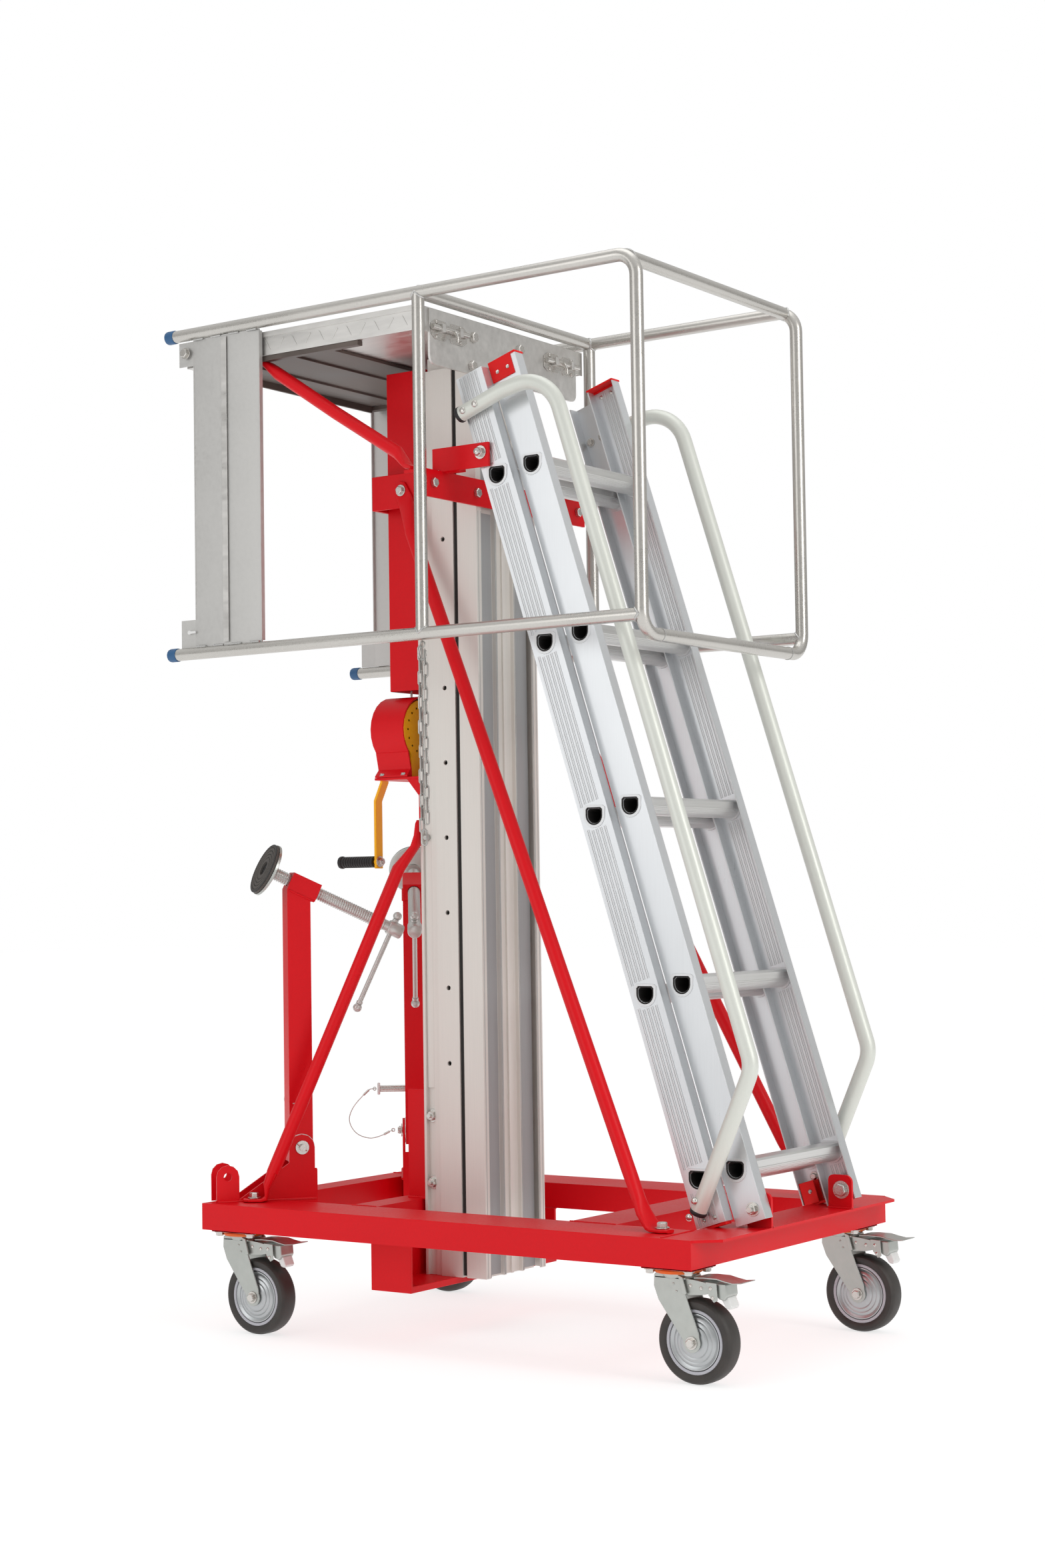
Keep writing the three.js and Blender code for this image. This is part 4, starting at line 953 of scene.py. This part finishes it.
for name, side in SIDES:
    y = side * HANDRAIL_Y
    path = [in_ladder(n, s, y) for n, s in
            ((537, 1714), (640, 1718), (754, 1706), (754, 338), (562, 122))]
    route = filleted(path, [60, 84, 60], 12)
    piece("handrail_%s_tube" % name, Shape().sweep(route, 15, 28), HANDRAIL, "ladder_top",
          ["handrail_" + name])
    caps = Shape()
    for end, inward in ((route[0], route[1] - route[0]), (route[-1], route[-2] - route[-1])):
        away = -inward.normalized()
        caps.turned([(15.5, -4), (15.9, -3), (15.9, 1.5), (14.5, 4), (10, 5.2), (2, 5.6)],
                    end, away, 28)
    piece("handrail_caps_" + name, caps, BLACK, "ladder_top")
    spots = [in_ladder(553.5, 1713.5, 0), in_ladder(584, 1714, 0)]
    spots += [Vector((500, 0, 309)), Vector((488, 0, 279))]
    domes("handrail_bolts_" + name, [(p + Y * (y + side * 14.3), Y * side) for p in spots],
          STEEL, "ladder_top", 6.6, 4.6)
    bolts("handrail_nuts_" + name, [(p + Y * (y - side * 18.7), -Y * side) for p in spots],
          STEEL, "ladder_top", 12, 6, 1.4)

# ---- stabiliser legs
for name, side in SIDES:
    leg = Leg(side)
    finished("stabiliser_leg_" + name, RED, "leg_" + name, 1.6)
    run = Shape()
    for w in (-24.4, 24.4):
        bead(run, [leg.along(-44, 20.4, w), leg.along(12, 20.4, w)], 2)
    piece("jack_nut_weld_" + name, run, RED, "leg_" + name)
    shape = Shape().rod(leg.at(*SPARE_HOLE, -23.9), leg.at(*SPARE_HOLE, 23.9), 7.3, 20)
    piece("leg_hole_plug_" + name, shape, RED, "leg_" + name)
    shape = Shape().rod(leg.at(0, PIVOT_Z, -41), leg.at(0, PIVOT_Z, 41), 6.8, 20)
    washers = Shape()
    for w in (-1, 1):
        shape.turned([(14, 0), (14, 2.4)], leg.at(0, PIVOT_Z, w * 31.2), leg.across * w, 24)
        shape.rod(leg.at(-9, 354, w * 36.5), leg.at(10, 368, w * 36.5), 1.6, 10)
        washers.turned([(27, -0.6), (27, 0.6)], leg.at(0, PIVOT_Z, w * 24.8), leg.across, 28)
    piece("leg_pivot_pin_" + name, shape, STEEL, "base", bevel=0.5)
    piece("leg_washers_" + name, washers, WHITE, "leg_" + name)

    # lock pin: smooth shank with a wire clip through its tip, pale head, ring on the near one
    start, end = leg.at(0, PIN_Z, side * 28), leg.at(0, PIN_Z, -side * 78)
    shape = Shape().rod(start, end, 7, 24)
    shape.sweep([start + leg.out * 18 - Z, start + leg.across * side * 2,
                 start - leg.out * 8 + leg.across * side * 2], 1.2, 8)
    piece("lock_pin_shank_" + name, shape, STEEL, "pin_" + name, ["lock_pin_" + name],
          bevel=0.5)
    shape = Shape().turned([(12, 0), (13, 1.5), (13, 4.5), (12, 6)], end, -leg.across * side, 28)
    piece("lock_pin_head_" + name, shape, WHITE, "pin_" + name, bevel=0.4)
    if side < 0:
        shape = Shape().ring([(5.2, -1.1), (6.3, 0), (5.2, 1.1), (4.1, 0)],
                             leg.at(0, PIN_Z, 87.5), Z, 18)
        piece("lock_pin_ring_near", shape, STEEL, "pin_near")

    # jack screw with its thread, cross head and tommy bar
    shape = Shape().rod(leg.along(-212), leg.along(52), 11.2, 24)
    axis = (leg.along(1) - leg.along(0)).normalized()
    u = leg.across
    v = axis.cross(u)
    for first, last in ((-202, NUT_BLOCK[0]), (NUT_BLOCK[1], 50)):
        rings = []
        for k in range(int((last - first) / THREAD_PITCH * THREAD_STEPS) + 1):
            t = 2 * math.pi * k / THREAD_STEPS
            way = u * math.cos(t) + v * math.sin(t)
            base = leg.along(first + THREAD_PITCH * k / THREAD_STEPS)
            rings.append([base - axis * 2.3 + way * 11, base - axis * 0.6 + way * 13,
                          base + axis * 0.6 + way * 13, base + axis * 2.3 + way * 11,
                          base + way * 10.6])
        shape.loft(rings)
    shape.turned([(13, 0), (15, 2), (15, 30), (13.6, 32)], leg.along(-244), axis, 28)
    piece("jack_screw_thread_" + name, shape, SCREW, "jack_" + name, ["jack_screw_" + name],
          smooth=50)
    a, b = leg.along(TOMMY_AT, -27), leg.along(TOMMY_AT, 178)
    shape = Shape().rod(a, b, 5, 18)
    for at in (a, b):
        ball = [(9.2 * math.cos(t), 9.2 * math.sin(t)) for t in
                (math.radians(-90 + 15 * k) for k in range(13))]
        shape.turned([(max(r, 0.4), h) for r, h in ball], at, b - a, 24)
        shape.turned([(6.6, -3), (6.6, 3)], at + (b - a).normalized() * (11 if at is a else -11),
                     b - a, 18)
    piece("tommy_bar_steel_" + name, shape, SCREW, "tommy_" + name, ["tommy_bar_" + name])

    # foot pad: zinc cup, black ringed rubber face
    tilt = Quaternion(Z, math.radians(-6.5 * side)) @ axis      # its ball joint hangs over
    ball = leg.along(54) - tilt * 54
    shape = Shape().turned([(13.5, 50), (19, 51), (20, 55), (27, 57.5), (44, 60.5), (52, 61.5),
                            (54.6, 63), (54.6, 68), (30, 68), (4, 68)], ball, tilt, 48)
    piece("foot_pad_cup_" + name, shape, ZINC, "pad_" + name, ["foot_pad_" + name])
    profile = [(3, 68), (52, 68), (53.4, 69), (53.4, 73.5), (51.4, 75)]
    grooves = []
    for r in (48, 40.5, 33, 25.5):
        profile += [(r, 75), (r - 0.8, 73.2), (r - 1.9, 73.2), (r - 2.7, 75)]
        grooves += [(r - 0.4, 72.6), (r - 0.4, 73.7), (r - 2.3, 73.7), (r - 2.3, 72.6)]
    profile += [(15, 75), (14, 70.5), (3, 70.5)]
    shape = Shape().turned(profile, ball, tilt, 56)
    piece("foot_pad_rubber_" + name, shape, PAD, "pad_" + name, smooth=25)
    shape = Shape()
    for k in range(0, len(grooves), 4):
        shape.ring(grooves[k:k + 4], ball, tilt, 56)
    shape.ring([(3, 70.2), (3, 71.2), (14.3, 71.2), (14.3, 70.2)], ball, tilt, 40)
    shape.ring([(49.6, 74.6), (49.6, 75.3), (52.4, 75.3), (53.2, 74.6)], ball, tilt, 56)
    piece("foot_pad_grooves_" + name, shape, BLACK, "pad_" + name)

# wire lanyard of the far lock pin
leg = Leg(1)
LANYARD = [(0, 450, -86.5), (1, 449, -100), (2, 437, -114), (4, 413, -135), (5, 389, -145),
           (6, 369, -141), (6, 352, -126), (5, 344, -101), (4, 349, -77), (2, 357, -61),
           (0, 361, -51)]


def smooth_route(points, steps=6):
    """Catmull-Rom points through the given ones."""
    points = [Vector(p) for p in points]
    ends = [points[0]] + points + [points[-1]]
    route = []
    for i in range(1, len(ends) - 2):
        p0, p1, p2, p3 = ends[i - 1:i + 3]
        for k in range(steps):
            t = k / steps
            route.append(0.5 * (2 * p1 + (p2 - p0) * t + (2 * p0 - 5 * p1 + 4 * p2 - p3) * t * t
                                + (3 * p1 - p0 - 3 * p2 + p3) * t ** 3))
    return route + [points[-1]]


lanyard_route = smooth_route([leg.at(*p) for p in LANYARD])
wire, wire_length = cord_curve("pin_lanyard_wire", lanyard_route, 1.0, STEEL)
shape = Shape().rod(lanyard_route[7], lanyard_route[12], 2.4, 14)
shape.rod(lanyard_route[-11], lanyard_route[-6], 2.4, 14)
shape.ring([(3.4, -1), (4.4, 0), (3.4, 1), (2.4, 0)], lanyard_route[2], leg.out, 16)
shape.ring([(3.4, -1), (4.4, 0), (3.4, 1), (2.4, 0)], lanyard_route[-1], leg.out, 16)
piece("pin_lanyard_ferrules", shape, STEEL, "pin_far", bevel=0.3)

# ---- casters
# outlines of (x, z), with x measured from the swivel
CHEEK = [(-34, 190), (-30, 193), (17, 193), (19, 186), (TRAIL + 14.5, 92),
         *arc(TRAIL, WHEEL_Z, 17.5, 30, -190, 12), (-26, 146), (-35, 170)]
LIP = [(17, 192), (26, 189), (34, 160), (26, 158)]
SIDE_PLATE = [(20, 187), (56, 183.4), (80, 179.6), (83, 171), (78, 163), (60, 159), (30, 157)]
EAR = [(70, 183), (92, 182), (94, 152), (86, 148), (76, 160)]
PEDAL_TOP = [(46, 187.2), (66, 188.6), (92, 188), (108, 184.6), (124, 182.4), (142, 184.4),
             (142, 186), (124, 184.4), (108, 187), (92, 190.4), (66, 190.8), (46, 189.4)]
BLOCK = [(84, 181), (108, 181), (110, 160), (104, 151), (92, 154), (84, 166)]
TAB = [(93, 156), (109, 158), (116, 141), (112, 136), (104, 138)]
# profiles of (radius, height) about the axle; the last three are for both sides
HALF_TYRE = [(57, -17.5), (60, -20), (65, -21.4), (70, -20.6), (73.2, -17.4), (74.7, -11)]
RIM_RING = [(51.5, 14), (57.4, 14), (57.4, 17.4), (56.6, 18.4), (52.3, 18.4), (51.5, 17.4)]
RIM_GAP = [(49, 12), (52, 12), (52, 16.2), (49, 16.2)]
HUB_PLATE = [(6, 12), (50, 12), (50, 17.6), (48.4, 18), (46.6, 17), (43, 15.8), (41, 17.4),
             (38, 18.3), (35.4, 17.7), (33.6, 18.9), (30, 19.7), (27.5, 19.1), (25.5, 20.3),
             (21, 21.2), (17, 21.4), (14, 22.6), (6, 23.4)]


def on_both_cheeks(x, y, reach, spots):
    """Places for round heads on both sides of a caster, facing outwards."""
    return [((x + dx, y + s * reach, z), Y * s) for s in (-1, 1) for dx, z in spots]


for name, side in SIDES:
    for end, ex in (("left", -1), ("right", 1)):
        tag = name + "_" + end
        x, y = ex * CASTER_X, side * CASTER_Y
        axle = Vector((x + TRAIL, y, WHEEL_Z))

        plate = Shape().box(x - 52, x + 52, y - 42, y + 42, CASTER_TOP, CASTER_TOP + 5.4)
        piece("caster_plate_" + tag, plate, ZINC, "base", bevel=1.2)
        shape = Shape()
        for dx in (-40, 40):
            for dy in (-31, 31):
                shape.hexagon((x + dx, y + dy, CASTER_TOP), -Z, 14, 7, 1.6)
        piece("caster_plate_bolts_" + tag, shape, STEEL, "base", bevel=0.5)
        seal = Shape().ring([(24, 193.4), (41, 193.4), (43, 195), (43, 198.6), (41, 200.2),
                             (24, 200.2)], (x, y, 0), Z, 44)
        piece("caster_seal_" + tag, seal, ORANGE, "swivel_" + tag)
        race = Shape().turned([(20, 182), (27, 183), (31, 187), (32.5, 191), (32.5, 194.6),
                               (20, 194.6)], (x, y, 0), Z, 40)
        race.turned([(9, 177), (9, 183)], (x, y, 0), Z, 6)
        piece("caster_race_" + tag, race, ZINC, "swivel_" + tag, bevel=0.4)

        fork = Shape().box(x - 33, x + 30, y - 27.6, y + 27.6, 184, 187.6)
        for s in (-1, 1):
            fork.slab(CHEEK, y + s * 24.3, y + s * 27.6, x)
            fork.slab(LIP, y + s * 27.2, y + s * 31, x)
        piece("caster_fork_sheet_" + tag, fork, ZINC, "swivel_" + tag,
              ["caster_fork_" + tag], bevel=0.9)
        heads = on_both_cheeks(x, y, 27.5, ((6, 176), (12, 163)))
        domes("caster_dimples_" + tag, heads, ZINC, "swivel_" + tag, 2.2, 1.6)
        pin = Shape().rod(axle - Y * 34, axle + Y * 34, 5.6, 20)
        for s in (-1, 1):
            pin.hexagon(axle + Y * (s * 27.8), Y * s, 15, 6.5, 2)
        piece("caster_axle_" + tag, pin, STEEL, "swivel_" + tag, bevel=0.6)

        # wheel: rounded tyre, grey rim ring, stepped hub plates
        tyre = HALF_TYRE + [(WHEEL_Z, 0)] + [(r, -h) for r, h in reversed(HALF_TYRE)]
        shape = Shape().ring(tyre, axle, Y, 72)
        piece("caster_tyre_" + tag, shape, RUBBER, "wheel_" + tag, ["caster_wheel_" + tag])
        rim, hub, gap = Shape(), Shape(), Shape()
        for shape, profile, steps in ((rim, RIM_RING, 56), (gap, RIM_GAP, 48), (hub, HUB_PLATE, 56)):
            for s in (-1, 1):
                shape.ring([(r, s * h) for r, h in profile], axle, Y, steps)
        piece("caster_rim_" + tag, rim, RIM, "wheel_" + tag)
        piece("caster_rim_groove_" + tag, gap, DARK, "wheel_" + tag)
        piece("caster_hub_" + tag, hub, HUB, "wheel_" + tag, smooth=26)

        # brake: riveted link housing, pressed pedal, block over the tyre, pale tab
        housing, pedal, block, tab = Shape(), Shape(), Shape(), Shape()
        for s in (-1, 1):
            housing.slab(SIDE_PLATE, y + s * 21, y + s * 23.4, x)
            pedal.slab(EAR, y + s * 23.6, y + s * 25.4, x)
        housing.box(x + 22, x + 62, y - 22, y + 22, 179.6, 182.4)
        pedal.slab(PEDAL_TOP, y - 25, y + 25, x)
        block.slab(BLOCK, y - 20, y + 20, x)
        tab.slab(TAB, y - 14, y + 14, x)
        piece("brake_housing_" + tag, housing, ZINC, "swivel_" + tag, bevel=0.7)
        piece("brake_pedal_sheet_" + tag, pedal, ZINC, "pedal_" + tag,
              ["brake_pedal_" + tag], bevel=0.8)
        piece("brake_block_" + tag, block, ZINC, "pedal_" + tag, bevel=3)
        piece("brake_tab_" + tag, tab, WHITE, "pedal_" + tag, bevel=2)
        heads = on_both_cheeks(x, y, 23.3, ((38, 174), (60, 171)))
        domes("brake_rivets_" + tag, heads, STEEL, "swivel_" + tag, 3.4, 2)
        heads = on_both_cheeks(x, y, 25.3, ((80, 172), (84, 156)))
        domes("pedal_rivets_" + tag, heads, STEEL, "pedal_" + tag, 3.4, 2)

# ---- cords
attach(wire, "pin_far")
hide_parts("pin_lanyard")
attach(line, "base")


# ---- studio
def add_floor():
    mesh = bpy.data.meshes.new("floor")
    mesh.from_pydata([(-30, -30, 0), (30, -30, 0), (30, 30, 0), (-30, 30, 0)], [], [(0, 1, 2, 3)])
    floor = new_object("floor", mesh)
    look = bpy.data.materials.new("studio_floor")
    look.use_nodes = True
    shader = look.node_tree.nodes["Principled BSDF"]
    for socket, value in (("Base Color", (0.35, 0.35, 0.35, 1)), ("Roughness", 0.9),
                          ("Emission Color", (1, 1, 1, 1)), ("Emission Strength", 0.72)):
        shader.inputs[socket].default_value = value
    mesh.materials.append(look)


add_floor()
add_light("key", (4.6, -0.6, 2.6), (0, 0, 1.0), (1.6, 3.2), 70, (1, 0.99, 0.97))
add_light("fill", (-1.5, -5.0, 2.2), (0, 0, 1.0), (3.0, 2.4), 38)
add_light("top", (0.0, 0.0, 5.0), (0, 0, 0), (3.0, 3.0), 30)
